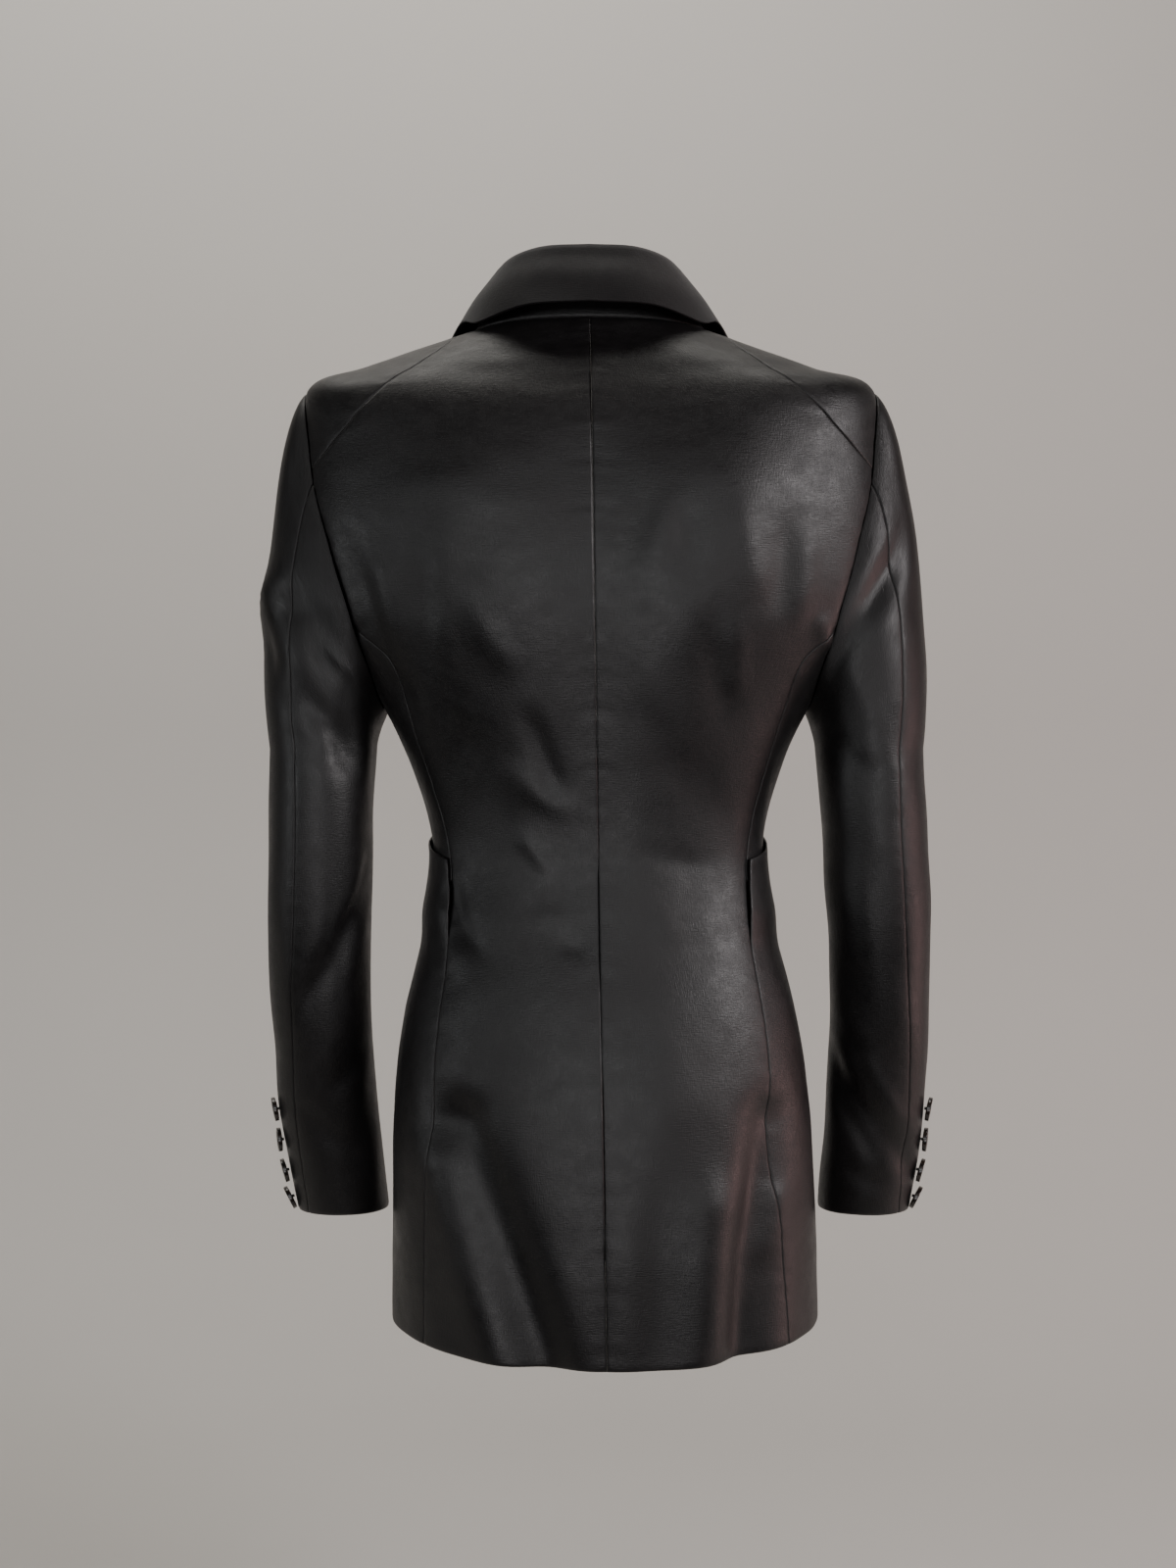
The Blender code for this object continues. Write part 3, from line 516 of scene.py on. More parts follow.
    def armhole_share(self, level: float, front: bool = False) -> float:
        """The share of the armhole at which its edge passes a level."""
        lowest = int(np.argmin(self.armhole_table[:, 1]))
        if front:
            return float(np.interp(level, self.armhole_table[lowest:, 1], self.armhole_shares[lowest:]))
        levels = self.armhole_table[: lowest + 1, 1]
        return float(np.interp(-level, -levels, self.armhole_shares[: lowest + 1]))


def flat(angle: Value, level: Value) -> Table:
    """Where a place on the body lies on the cutting table."""
    return np.stack([np.asarray(angle) * GIRTH_RADIUS, np.asarray(level) + 0.0 * np.asarray(angle)], axis=-1)


BODY_RIPPLES: dict[Side, tuple[Ripple, ...]] = {
    Side.LEFT: (Ripple(3, 0.090, 0.00055, 1.8), Ripple(5, 0.034, 0.00016, 1.5)),
    Side.RIGHT: (Ripple(8, 0.090, 0.00055, 1.8), Ripple(13, 0.034, 0.00016, 1.5)),
}

ARMHOLE_LENGTH, ARMHOLE_POINTS = 0.58, 721  # about its length, and the points that it is measured at
# Armhole edge from the shoulder point down the back and up the front: level, distance from centre.
ARMHOLE_BACK = ((-0.060, 0.2055), (-0.100, 0.2005), (-0.160, 0.1865), (-0.214, 0.1705), (-0.240, 0.1625))
ARMHOLE_FRONT = ((-0.245, 0.1500), (-0.215, 0.1510), (-0.170, 0.1600), (-0.120, 0.1770), (-0.080, 0.1940))

# Where the seams meet the armhole and the neck, and the heights where the side and hip panels end.
SHOULDER_SEAM_LEVEL, SIDE_BACK_LEVEL, SIDE_FRONT_LEVEL = -0.105, -0.217, -0.245
SHOULDER_SEAM_NECK_ANGLE, GORGE_ANGLE = math.radians(68), math.radians(130)
SIDE_PANEL_END, HIP_TOP_BACK, HIP_TOP_FRONT = -0.395, -0.379, -0.352
HIP_LIFT, HIP_LIFT_FOOT, HIP_LIFT_FULL = 0.0036, -0.445, -0.412
FRONT_OVERLAP = 0.018
LEFT_LAPEL_END = -0.262  # under this the right front hides the left lapel
LAPEL_LIFT, OVERLAP_LIFT = 0.0046, 0.0038
OVERLAP_RISE = (-0.060, -FRONT_OVERLAP - 0.004)  # where the right front starts to rise and is up
ROLL_ROUND = 0.0042  # radius of the lapel's fold at its roll line
ROLL_LIFT = 0.0006  # how far the lapel stands off at its roll line
FRONT_BUTTON_LEVEL = -0.360

# Seam lines: level, distance from the centre.
SIDE_BACK_SEAM = (
    (-0.718, 0.1270), (-0.650, 0.1245), (-0.580, 0.1195), (-0.512, 0.1160), (-0.428, 0.1055),
    (-0.372, 0.1060), (-0.320, 0.1185), (-0.272, 0.1335), (-0.238, 0.1475),
)
SIDE_FRONT_SEAM = (
    (-0.718, 0.1200), (-0.640, 0.1190), (-0.560, 0.1160), (-0.470, 0.1040), (-0.400, 0.0920),
    (-0.350, 0.0930), (-0.300, 0.1080), (-0.265, 0.1260),
)
# Lines as seen from the back or the front: distance from centre, height.
SHOULDER_SEAM = (
    (0.1080, -0.0190), (0.1300, -0.0370), (0.1510, -0.0545), (0.1700, -0.0740), (0.1855, -0.0895),
)
ROLL_LINE = ((0.0560, -0.0900), (0.0370, -0.1500), (0.0190, -0.2100), (0.0010, -0.2750))
LAPEL_TOP = ((0.0840, -0.0535), (0.0970, -0.0600), (0.1320, -0.0960))
LAPEL_EDGE = ((0.1260, -0.1250), (0.1080, -0.1750), (0.0800, -0.2300), (0.0400, -0.2850))
FRONT_CORNER = ((-0.7200, 0.0380), (-0.7080, 0.0110), (-0.6800, -0.0080), (-0.6400, -0.0160))


def respaced(points: Table, step: float) -> Table:
    """A smooth line through flat points, evenly spaced.

    Args:
        points: The line's own points, of which the ends are kept.
        step: The wanted spacing.

    Returns:
        The finer line.
    """
    points = np.array(points, float)
    lengths = lengths_along(points)
    count = max(2, round(lengths[-1] / step) + 1)
    if len(points) == 2:
        return points[0] + (points[1] - points[0]) * np.linspace(0, 1, count)[:, None]
    return Smooth(lengths, points)(np.linspace(0, lengths[-1], count))


CORNER_CLEAR = 0.001  # a line's own points this near to a new corner are dropped
SAME_PLACE = 0.0008  # points nearer than this are one


def cut_at(line: Table, level: float) -> tuple[Table, Table]:
    """Splits a line that runs upward into the parts under and over a level."""
    corner = np.array([[np.interp(level, line[:, 1], line[:, 0]), level]])
    under, over = line[line[:, 1] < level - CORNER_CLEAR], line[line[:, 1] > level + CORNER_CLEAR]
    return np.concatenate([under, corner]), np.concatenate([corner, over])


def joined(edges: Sequence[Table]) -> Table:
    """Joins edges end to end and drops the repeated corners."""
    points = np.concatenate(edges)
    keep = [0]
    for index in range(1, len(points)):
        if np.linalg.norm(points[index] - points[keep[-1]]) > SAME_PLACE:
            keep.append(index)
    if np.linalg.norm(points[keep[-1]] - points[keep[0]]) < SAME_PLACE:
        keep.pop()
    return points[keep]


def inset(outline: Table, distance: float) -> Table:
    """Moves each point of a closed outline inward."""
    before = unit(outline - np.roll(outline, 1, axis=0))
    after = unit(np.roll(outline, -1, axis=0) - outline)
    following = np.roll(outline, -1, axis=0)
    turn = np.sum(outline[:, 0] * following[:, 1] - outline[:, 1] * following[:, 0])
    left = np.array([[0, 1], [-1, 0]]) * (1 if turn > 0 else -1)
    inward = before @ left + after @ left
    stretch = np.maximum(np.sum(inward**2, axis=1, keepdims=True) / 2, 0.6)
    return outline + inward / stretch * distance


def clearance(points: Table, outline: Table) -> np.ndarray:
    """Distance of points from a closed outline, under 0 outside it."""
    inside = np.zeros(len(points), bool)
    nearest = np.full(len(points), FAR)
    for start, end in zip(outline, np.roll(outline, -1, axis=0)):
        nearest = np.minimum(nearest, segment_place(points, start, end)[0])
        crosses = (start[1] > points[:, 1]) != (end[1] > points[:, 1])
        slope = (end[0] - start[0]) / (end[1] - start[1] + 1e-12)
        inside ^= crosses & (points[:, 0] < start[0] + slope * (points[:, 1] - start[1]))
    return np.where(inside, nearest, -nearest)


EDGE_ROWS = (0.0011, 0.0024)  # distances from the edge of the rows of points that follow it


def grid_faces(rows: int, columns: int) -> list[tuple[int, ...]]:
    """Four-cornered faces between rows of points that are numbered one row after the other."""
    corners = [row * columns + column for row in range(rows - 1) for column in range(columns - 1)]
    return [(corner, corner + columns, corner + columns + 1, corner + 1) for corner in corners]


def filled(outline: Table, step: float) -> tuple[Table, list[tuple[int, ...]]]:
    """Fills an outline with a fine grid and rows that follow its edge.

    Args:
        outline: Closed outline on the cutting table.
        step: Spacing of the grid.

    Returns:
        The flat points and the triangles between them.
    """
    rows = [outline]
    for distance in EDGE_ROWS:
        row = inset(outline, distance)
        rows.append(row[clearance(row, outline) > 0.85 * distance])
    low, high = outline.min(axis=0), outline.max(axis=0)
    rise = step * math.sqrt(3) / 2
    levels = np.arange(low[1] + rise / 2, high[1], rise)
    grid = []
    for number, level in enumerate(levels):
        across = np.arange(low[0] + step * (0.5 + 0.5 * (number % 2)), high[0], step)
        grid.append(np.stack([across, np.full(len(across), level)], axis=-1))
    grid = np.concatenate(grid)
    rows.append(grid[clearance(grid, outline) > EDGE_ROWS[-1] + 0.45 * step])
    table = np.concatenate(rows)
    corners = list(range(len(outline)))
    result = delaunay_2d_cdt([Vector(p) for p in table], [], [corners], 1, 1e-7)
    return np.array([tuple(v) for v in result[0]]), [tuple(face) for face in result[2]]


@dataclass(frozen=True)
class Cut:
    """The size a piece of cloth is cut to before it is sewn: width, length and area."""

    width: float
    length: float
    area: float


def cloth_object(
    name: str, points: np.ndarray, faces: Sequence[tuple[int, ...]], uvs: Table, wall: float,
    materials: Sequence[Material],
) -> Object:
    """Makes a closed thin shell of cloth from an open sheet.

    Args:
        name: The piece's name.
        points: Places of its outer face.
        faces: Faces between them, seen from outside.
        uvs: The flat place of each point, in metres.
        wall: Thickness, grown inward.
        materials: The outer finish and, where given, the inner one.

    Returns:
        The finished object, with its modifier applied.
    """
    mesh = bpy.data.meshes.new(name)
    mesh.from_pydata([tuple(p) for p in points], [], [tuple(f) for f in faces])
    for material in materials:
        mesh.materials.append(material)
    layer = mesh.uv_layers.new(name="Cut")
    loops = np.empty(len(mesh.loops), np.int64)
    mesh.loops.foreach_get("vertex_index", loops)
    layer.data.foreach_set("uv", np.asarray(uvs, np.float32)[loops].reshape(-1))
    mesh.shade_smooth()
    piece = add_to_scene(name, mesh)
    solidify = piece.modifiers.new("Wall", "SOLIDIFY")
    solidify.thickness = wall
    solidify.offset = -1
    solidify.material_offset = len(materials) - 1
    apply_modifier(piece, solidify.name)
    return piece


def deselect_all() -> None:
    """Deselects every object."""
    for other in bpy.context.selected_objects:
        other.select_set(False)


def select_only(*pieces: Object) -> None:
    """Selects these pieces and no other, with the first one active."""
    deselect_all()
    for piece in pieces:
        piece.select_set(True)
    bpy.context.view_layer.objects.active = pieces[0]


def add_to_scene(name: str, data: ID) -> Object:
    """Makes an object of a mesh, curve, lamp or camera, and puts it in the scene."""
    made = bpy.data.objects.new(name, data)
    bpy.context.scene.collection.objects.link(made)
    return made


def apply_modifier(piece: Object, name: str) -> None:
    """Applies one modifier of a piece."""
    select_only(piece)
    bpy.ops.object.modifier_apply(modifier=name)
    piece.select_set(False)


def declare(
    piece: Object, node: str, slot: str, cut: Cut | None = None
) -> None:
    """Puts a piece on the body in place of its node.

    Args:
        piece: The finished piece.
        node: The node that it stands for.
        slot: Not used.
        cut: Not used.
    """
    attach(piece, "root")
    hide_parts(node)
    LOG.info("%s: %d triangles", piece.name, sum(len(p.vertices) - 2 for p in piece.data.polygons))


@dataclass
class SeamLines:
    """The seam lines of one side on the cutting table."""

    form: BodyForm
    lines: dict[str, Table] = field(default_factory=dict)

    def __post_init__(self) -> None:
        """Draws every line at the fine spacing."""
        form, step = self.form, FINE_STEP
        self.shoulder_share = form.armhole_share(SHOULDER_SEAM_LEVEL)
        self.side_back_share = form.armhole_share(SIDE_BACK_LEVEL)
        self.side_front_share = form.armhole_share(SIDE_FRONT_LEVEL, True)
        self.lines["side back"] = self._seam(SIDE_BACK_SEAM, form.armhole(self.side_back_share), False)
        self.lines["side front"] = self._seam(SIDE_FRONT_SEAM, form.armhole(self.side_front_share), True)
        neck = flat(SHOULDER_SEAM_NECK_ANGLE, NECK_LEVEL)
        middle = [flat(*form.locate(x, z)) for x, z in SHOULDER_SEAM]
        self.lines["shoulder"] = respaced([neck, *middle, form.armhole(self.shoulder_share)], step)
        gorge = flat(GORGE_ANGLE, NECK_LEVEL)
        roll = [flat(*form.locate(x, z, True)) for x, z in ROLL_LINE]
        lap_point = flat(form.angle_on(BREAK_LEVEL, -FRONT_OVERLAP, True), BREAK_LEVEL)
        self.lines["roll"] = respaced([gorge, *roll, lap_point], step)
        corner = []
        for z, x in FRONT_CORNER:
            level = max(z, HEM_LEVEL)
            corner.append(flat(form.angle_on(level, x, True), level))
        self.lines["edge"] = respaced([*corner, lap_point], step)
        top = [flat(*form.locate(x, z, True)) for x, z in LAPEL_TOP]
        outer = [flat(*form.locate(x, z, True)) for x, z in LAPEL_EDGE]
        self.lines["lapel top"] = respaced([gorge, *top], step)
        self.lines["lapel edge"] = respaced([top[-1], *outer, lap_point], step)

    def _seam(self, rows: Sequence[Spot], top: Table, front: bool) -> Table:
        """A lengthwise seam from the hem up to its top end on the armhole."""
        points = [flat(self.form.angle_on(level, x, front), level) for level, x in rows]
        return respaced([*points, top], FINE_STEP)

    def armhole(self, start: float, end: float) -> Table:
        """The part of the armhole edge between two shares."""
        count = max(2, round(abs(end - start) * ARMHOLE_LENGTH / FINE_STEP) + 1)
        return self.form.armhole(np.linspace(start, end, count))


@dataclass
class BodyPanel:
    """A piece of cloth laid on the body, by its edges on the cutting table and how each is finished."""

    name: str
    side: Side
    edges: Sequence[tuple[Table, EdgeKind]]
    cut: Cut
    hung_on: str
    slot: str = "satin"
    lift: Callable[[Table], np.ndarray] | None = None
    round_edge: Table | None = None

    def build(self, form: BodyForm, materials: Sequence[Material]) -> Object:
        """Fills, lays and closes the piece.

        Args:
            form: The body.
            materials: The outer and the inner finish.

        Returns:
            The finished piece.
        """
        outline = inset(joined([line for line, _ in self.edges]), SEAM_HALF_GAP)
        table, faces = filled(outline, FINE_STEP)
        lift = np.zeros(len(table)) if self.lift is None else self.lift(table)
        lift = lift + self._edge_depth(table)
        if self.round_edge is not None:
            near = np.clip(line_distance(table, self.round_edge) / ROLL_ROUND, 0, 1)
            lift = lift - (LAPEL_LIFT - ROLL_LIFT) * (1 - np.sqrt(np.clip(1 - (1 - near) ** 2, 0, 1)))
        points = form.place(table, self.side, lift)
        if self.side is Side.LEFT:
            faces = [tuple(reversed(face)) for face in faces]
        word = self.side.label
        piece = cloth_object(f"{self.name}_cloth_{word}", points, faces, table, CLOTH_WALL, materials)
        declare(piece, f"{self.name}_{word}", self.slot, self.cut)
        return piece

    def _edge_depth(self, table: Table) -> np.ndarray:
        """How far the turned-in edges and their small puckers pull the cloth in."""
        depth = np.zeros(len(table))
        for line, kind in self.edges:
            fall, width = kind.value
            distance = line_distance(table, line)
            depth -= fall * bell(distance, width)
            if kind in (EdgeKind.SEAM, EdgeKind.ARMHOLE):
                depth += BODY_PUCKER.height_at(table @ PUCKER_RUN, distance)
        return depth


def hip_lift(table: Table) -> np.ndarray:
    """The hip panel stands off at the waist, where it laps over the side panel."""
    return HIP_LIFT * ease(table[:, 1], HIP_LIFT_FOOT, HIP_LIFT_FULL)


@dataclass
class JacketBody:
    """The back, side, hip and front panels and the lapels."""

    form: BodyForm
    cuts: dict[str, Cut]

    def build(self, satin: Sequence[Material], lapel: Sequence[Material]) -> None:
        """Builds both sides.

        Args:
            satin: The panels' outer and inner finish.
            lapel: The lapels' finish.
        """
        seams = SeamLines(self.form)
        for side in Side:
            for panel in self._panels(side, seams):
                panel.build(self.form, satin)
            self._lapel(side, seams).build(self.form, lapel)

    def front_lift(self, table: Table) -> np.ndarray:
        """The right front rises over the left one before the left one's edge."""
        past = table[:, 0] / GIRTH_RADIUS
        x = self.form.ring(table[:, 1])[3] * np.sin(past)
        return OVERLAP_LIFT * ease(-x, *OVERLAP_RISE) * (past > math.pi / 2)

    def _panels(self, side: Side, seams: SeamLines) -> list[BodyPanel]:
        """The four panels of one side."""
        lines = seams.lines
        seam, fold, lap, armhole = EdgeKind.SEAM, EdgeKind.FOLD, EdgeKind.LAP, EdgeKind.ARMHOLE
        _, back_top = cut_at(lines["side back"], SIDE_PANEL_END)
        _, front_top = cut_at(lines["side front"], SIDE_PANEL_END)
        hip_back, _ = cut_at(lines["side back"], HIP_TOP_BACK)
        hip_front, _ = cut_at(lines["side front"], HIP_TOP_FRONT)
        hem, neck = flat(0.0, HEM_LEVEL), flat(0.0, NECK_LEVEL)

        def straight(start: Table, end: Table) -> Table:
            """A straight edge between two corners."""
            return respaced([start, end], FINE_STEP)

        back = [
            (straight(hem, lines["side back"][0]), fold),
            (lines["side back"], seam),
            (seams.armhole(seams.side_back_share, seams.shoulder_share), armhole),
            (lines["shoulder"][::-1], seam),
            (straight(lines["shoulder"][0], neck), lap),
            (straight(neck, hem), seam),
        ]
        side_panel = [
            (straight(back_top[0], front_top[0]), lap),
            (front_top, seam),
            (seams.armhole(seams.side_front_share, seams.side_back_share), armhole),
            (back_top[::-1], seam),
        ]
        hip = [
            (straight(hip_back[0], hip_front[0]), fold),
            (hip_front, seam),
            (straight(hip_front[-1], hip_back[-1]), fold),
            (hip_back[::-1], seam),
        ]
        front = [
            (straight(lines["side front"][0], lines["edge"][0]), fold),
            (lines["edge"], fold),
            (lines["roll"][::-1], lap),
            (straight(lines["roll"][0], lines["shoulder"][0]), lap),
            (lines["shoulder"], seam),
            (seams.armhole(seams.shoulder_share, 0.0), armhole),
            (seams.armhole(1.0, seams.side_front_share), armhole),
            (lines["side front"][::-1], seam),
        ]
        rise = self.front_lift if side is Side.RIGHT else None
        return [
            BodyPanel(name, side, edges, self.cuts[name], hung_on, lift=lift)
            for name, edges, hung_on, lift in (
                ("back", back, "front", None),
                ("side", side_panel, "back", None),
                ("hip", hip, "back", hip_lift),
                ("front", front, "back", rise),
            )
        ]

    def _lapel(self, side: Side, seams: SeamLines) -> BodyPanel:
        """The lapel of one side, with a rounded fold at its roll line."""
        edge, roll = seams.lines["lapel edge"], seams.lines["roll"]
        if side is Side.LEFT:
            edge, roll = edge[edge[:, 1] > LEFT_LAPEL_END], roll[roll[:, 1] > LEFT_LAPEL_END]

        def lift(table: Table) -> np.ndarray:
            """How far the lapel stands off its front."""
            rise = self.front_lift(table) if side is Side.RIGHT else 0.0
            return LAPEL_LIFT + rise

        edges = [(seams.lines["lapel top"], EdgeKind.FOLD), (edge, EdgeKind.FOLD), (roll[::-1], EdgeKind.LAP)]
        return BodyPanel("lapel", side, edges, self.cuts["lapel"], "front", "lapel_satin", lift, roll)


# Collar sections from the centre back to the gorge: angle of the neck seam, roll line, fall edge.
COLLAR_SECTIONS = (
    (0, (0.0000, 0.0470, 0.0530), (0.0000, 0.0710, 0.0090)),
    (30, (0.0300, 0.0425, 0.0525), (0.0440, 0.0650, 0.0075)),
    (60, (0.0520, 0.0250, 0.0480), (0.0780, 0.0400, 0.0010)),
    (90, (0.0600, 0.0000, 0.0380), (0.0960, 0.0040, 0.0040)),
    (110, (0.0615, -0.0260, 0.0120), (0.1120, -0.0280, -0.0245)),
    (130, (0.0600, -0.0550, -0.0390), (0.1100, -0.0600, -0.0610)),
)
ROLL_RADIUS = 0.0035


@dataclass
class Collar:
    """The stand and fall of the collar as one folded piece."""

    form: BodyForm
    cut: Cut
    stations: int = 73
    across: int = 34
    girth: float = 0.36
    crown: float = 0.0025
    wave_heading: tuple[float, float, float] = (0.25, 0.9, 0.1)

    def section(self, angle: float, roll: np.ndarray, edge: np.ndarray) -> np.ndarray:
        """The cross-section of the folded collar at one place round the neck.

        Args:
            angle: The place on the neck seam.
            roll: The place of the roll line.
            edge: The place of the fall's edge.

        Returns:
            Points from the neck seam over the roll to the edge.
        """
        neck = self.form.bare(np.array(angle), np.array(NECK_LEVEL))
        stand = unit(roll - neck)
        outward = edge - roll
        outward = unit(np.array([outward[0], outward[1], 0.0]))
        fall_top = roll + outward * 2 * ROLL_RADIUS - stand * 1.5 * ROLL_RADIUS
        middle = (fall_top + edge) / 2 + outward * self.crown
        profile = np.array([
            neck - stand * 0.0008,
            neck + (roll - neck) * 0.5,
            roll - stand * 1.5 * ROLL_RADIUS,
            roll + outward * 0.3 * ROLL_RADIUS - stand * 0.3 * ROLL_RADIUS,
            roll + outward * ROLL_RADIUS,
            roll + outward * 1.7 * ROLL_RADIUS - stand * 0.3 * ROLL_RADIUS,
            fall_top,
            middle,
            edge,
        ])
        lengths = lengths_along(profile)
        curve = Smooth(lengths, profile)
        places = np.concatenate([np.linspace(0, 0.94, self.across - 5), [0.96, 0.975, 0.987, 0.995, 1.0]])
        return curve(places * lengths[-1])

    def build(self, materials: Sequence[Material]) -> None:
        """Sweeps the sections round the neck from gorge to gorge."""
        degrees = [row[0] for row in COLLAR_SECTIONS]
        roll = Smooth(degrees, [row[1] for row in COLLAR_SECTIONS])
        edge = Smooth(degrees, [row[2] for row in COLLAR_SECTIONS])
        turns = np.linspace(0, degrees[-1], self.stations)
        half = np.array([self.section(math.radians(turn), roll(turn), edge(turn)) for turn in turns])
        sections = np.concatenate([hang(half[:0:-1], Side.RIGHT), hang(half, Side.LEFT)])
        around = np.arange(len(sections)) * self.girth / len(sections)
        lengths = np.concatenate([
            np.zeros((len(sections), 1)),
            np.cumsum(np.linalg.norm(np.diff(sections, axis=1), axis=2), axis=1),
        ], axis=1)
        uvs = np.stack([np.repeat(around[:, None], self.across, axis=1), lengths], axis=-1).reshape(-1, 2)
        faces = [(face[0], *face[:0:-1]) for face in grid_faces(len(sections), self.across)]
        points = sections.reshape(-1, 3)
        points = points + self._unevenness(uvs)[:, None] * np.array(self.wave_heading)
        piece = cloth_object("collar_cloth", points, faces, uvs, COLLAR_WALL, materials)
        declare(piece, "collar", "collar_satin", self.cut)

    def _unevenness(self, uvs: Table) -> np.ndarray:
        """Low waves in the fall, none at the neck seam."""
        fall = ease(uvs[:, 1], 0.055, 0.090)
        return Ripple(21, 0.070, 0.0005, 0.6).height_at(uvs) * fall


# Sleeve rings from the biceps to the cuff: height, centre x and y, half width, half depth.
SLEEVE_RINGS = (
    (-0.300, 0.1997, -0.0060, 0.0388, 0.0545),
    (-0.360, 0.2018, -0.0040, 0.0377, 0.0510),
    (-0.420, 0.2040, -0.0050, 0.0373, 0.0480),
    (-0.490, 0.2050, -0.0140, 0.0362, 0.0440),
    (-0.560, 0.2028, -0.0280, 0.0360, 0.0405),
    (-0.610, 0.1984, -0.0380, 0.0352, 0.0385),
    (-0.6415, 0.1948, -0.0440, 0.0338, 0.0375),
)
BICEPS_Z, CUFF_Z = -0.300, -0.6415
SLEEVE_POWER = 2.1  # squareness of the arm's section
HEAD_LENGTH, ROW_LENGTH, CUFF_LENGTH = 0.17, 0.114, 0.512  # down the flat cloth: head, each row under it, all
# The head's curve from armhole to biceps: its way out of the armhole under the arm, and what the top of the
# shoulder adds to that; how far it swings out; and its way into the biceps, in the same two parts.
OUT_X, OUT_Y, OUT_Z = (0.35, 0.59), 0.30, (-0.93, 0.58)
LEAVE_REACH = (0.018, 0.042)
ARRIVE_X, ARRIVE_DROP = -0.03, (0.03, 0.23)
# Angles of the two seams round the arm, from its back, at each row.
SLEEVE_SEAM_PLACES = (0.0, 1.0, 2.0, 3.0, 4.0)
HIND_SEAM = (36, 22, 20, 30, 40)
FORE_SEAM = (235, 226, 222, 220, 218)


# Rings of the sleeve's head that the traced creases need: height, centre x, half width.
HEAD_RINGS = ((-0.105, 0.2000, 0.0300), (-0.200, 0.2010, 0.0360))


def sleeve_place(pixel: Spot, side: Side) -> Spot:
    """Arc from the back of the arm, and height, of the sleeve seen at a pixel."""
    x, z = seen_at(pixel, SLEEVE_DEPTH)
    rings = [*HEAD_RINGS, *((row[0], row[1], row[3]) for row in SLEEVE_RINGS)]
    drops, centres, widths = -np.array(rings).T[0], *np.array(rings).T[1:]
    across = (x * side.value - np.interp(-z, drops, centres)) / np.interp(-z, drops, widths)
    return round(math.asin(np.clip(across, -EDGE_ON, EDGE_ON)) * SLEEVE_RADIUS, 4), round(z, 3)


@dataclass(frozen=True)
class SleeveFold:
    """A main fold that the solid has too, round the arm: start angle and height, end angle and height."""

    start: Spot
    end: Spot
    width: float
    height: float


SLEEVE_FOLDS: dict[Side, tuple[SleeveFold, ...]] = {
    Side.LEFT: (
        SleeveFold((60, -0.190), (100, -0.200), 0.022, 0.0045),
        SleeveFold((50, -0.240), (-25, -0.290), 0.016, -0.0045),
        SleeveFold((-60, -0.420), (0, -0.470), 0.016, -0.0030),
    ),
    Side.RIGHT: (
        SleeveFold((30, -0.170), (-30, -0.225), 0.016, -0.0040),
        SleeveFold((-60, -0.540), (40, -0.600), 0.015, -0.0035),
    ),
}
# Creases of each sleeve, traced on the picture: path in pixels, half width in pixels, height in
# millimetres, and the sharpness where it isn't soft.
SLEEVE_TRACES: dict[Side, tuple[tuple, ...]] = {
    Side.LEFT: (
        (((300, 560), (330, 575), (352, 600)), 10, -1.2),
        (((276, 592), (320, 640), (352, 706)), 15, -3.0),
        (((300, 628), (332, 662), (366, 708)), 7, 2.4, 1.6),
        (((306, 640), (340, 668)), 5, -1.0),
        (((262, 600), (280, 606), (300, 600)), 12, 1.8),
        (((276, 660), (300, 700), (330, 740)), 14, 1.8),
        (((290, 740), (330, 770), (372, 780)), 16, -2.0),
        (((380, 860), (365, 920), (345, 970)), 9, -1.6),
        (((290, 900), (300, 1000), (310, 1080)), 14, 1.0),
        (((376, 1060), (350, 1100), (320, 1120)), 12, -1.4),
        (((300, 1120), (330, 1160), (372, 1180)), 14, -1.2),
    ),
    Side.RIGHT: (
        (((912, 544), (890, 590), (868, 620)), 9, 2.0),
        (((896, 520), (880, 560), (866, 592)), 10, -2.0),
        (((925, 560), (905, 600), (884, 640)), 11, -1.8),
        (((860, 660), (880, 720), (896, 760)), 14, 1.4),
        (((846, 740), (870, 780), (910, 800)), 16, -1.8),
        (((870, 840), (880, 920), (890, 1000)), 13, 1.0),
        (((850, 1110), (880, 1160), (906, 1202)), 9, -1.8),
        (((874, 1064), (900, 1110), (924, 1160)), 9, 1.8),
        (((850, 1040), (880, 1080), (905, 1130)), 12, -1.4),
        (((860, 1190), (890, 1210), (920, 1216)), 10, -0.9),
    ),
}
# Creases that the picture doesn't show, on the outside and front of the arm: arc from its back, and height.
HIDDEN_SLEEVE_CREASES: dict[Side, tuple[Crease, ...]] = {
    Side.LEFT: (
        Crease(((0.0900, -0.250), (0.1150, -0.275), (0.1400, -0.320)), 0.0100, -0.0020),
        Crease(((0.0850, -0.330), (0.1150, -0.360), (0.1450, -0.370)), 0.0095, 0.0016),
        Crease(((0.0950, -0.400), (0.1250, -0.390), (0.1550, -0.420)), 0.0090, -0.0018),
        Crease(((0.0900, -0.480), (0.1200, -0.500), (0.1500, -0.530)), 0.0100, 0.0014),
    ),
    Side.RIGHT: (
        Crease(((0.0880, -0.240), (0.1120, -0.270), (0.1420, -0.300)), 0.0105, -0.0022),
        Crease(((0.0850, -0.350), (0.1180, -0.372), (0.1460, -0.366)), 0.0090, 0.0018),
        Crease(((0.0930, -0.420), (0.1240, -0.412), (0.1520, -0.436)), 0.0095, -0.0018),
        Crease(((0.0900, -0.500), (0.1180, -0.530), (0.1480, -0.545)), 0.0100, 0.0014),
    ),
}
SLEEVE_CREASES = {
    side: traced(rows, side, sleeve_place, SLEEVE_DEPTH) + HIDDEN_SLEEVE_CREASES[side]
    for side, rows in SLEEVE_TRACES.items()
}


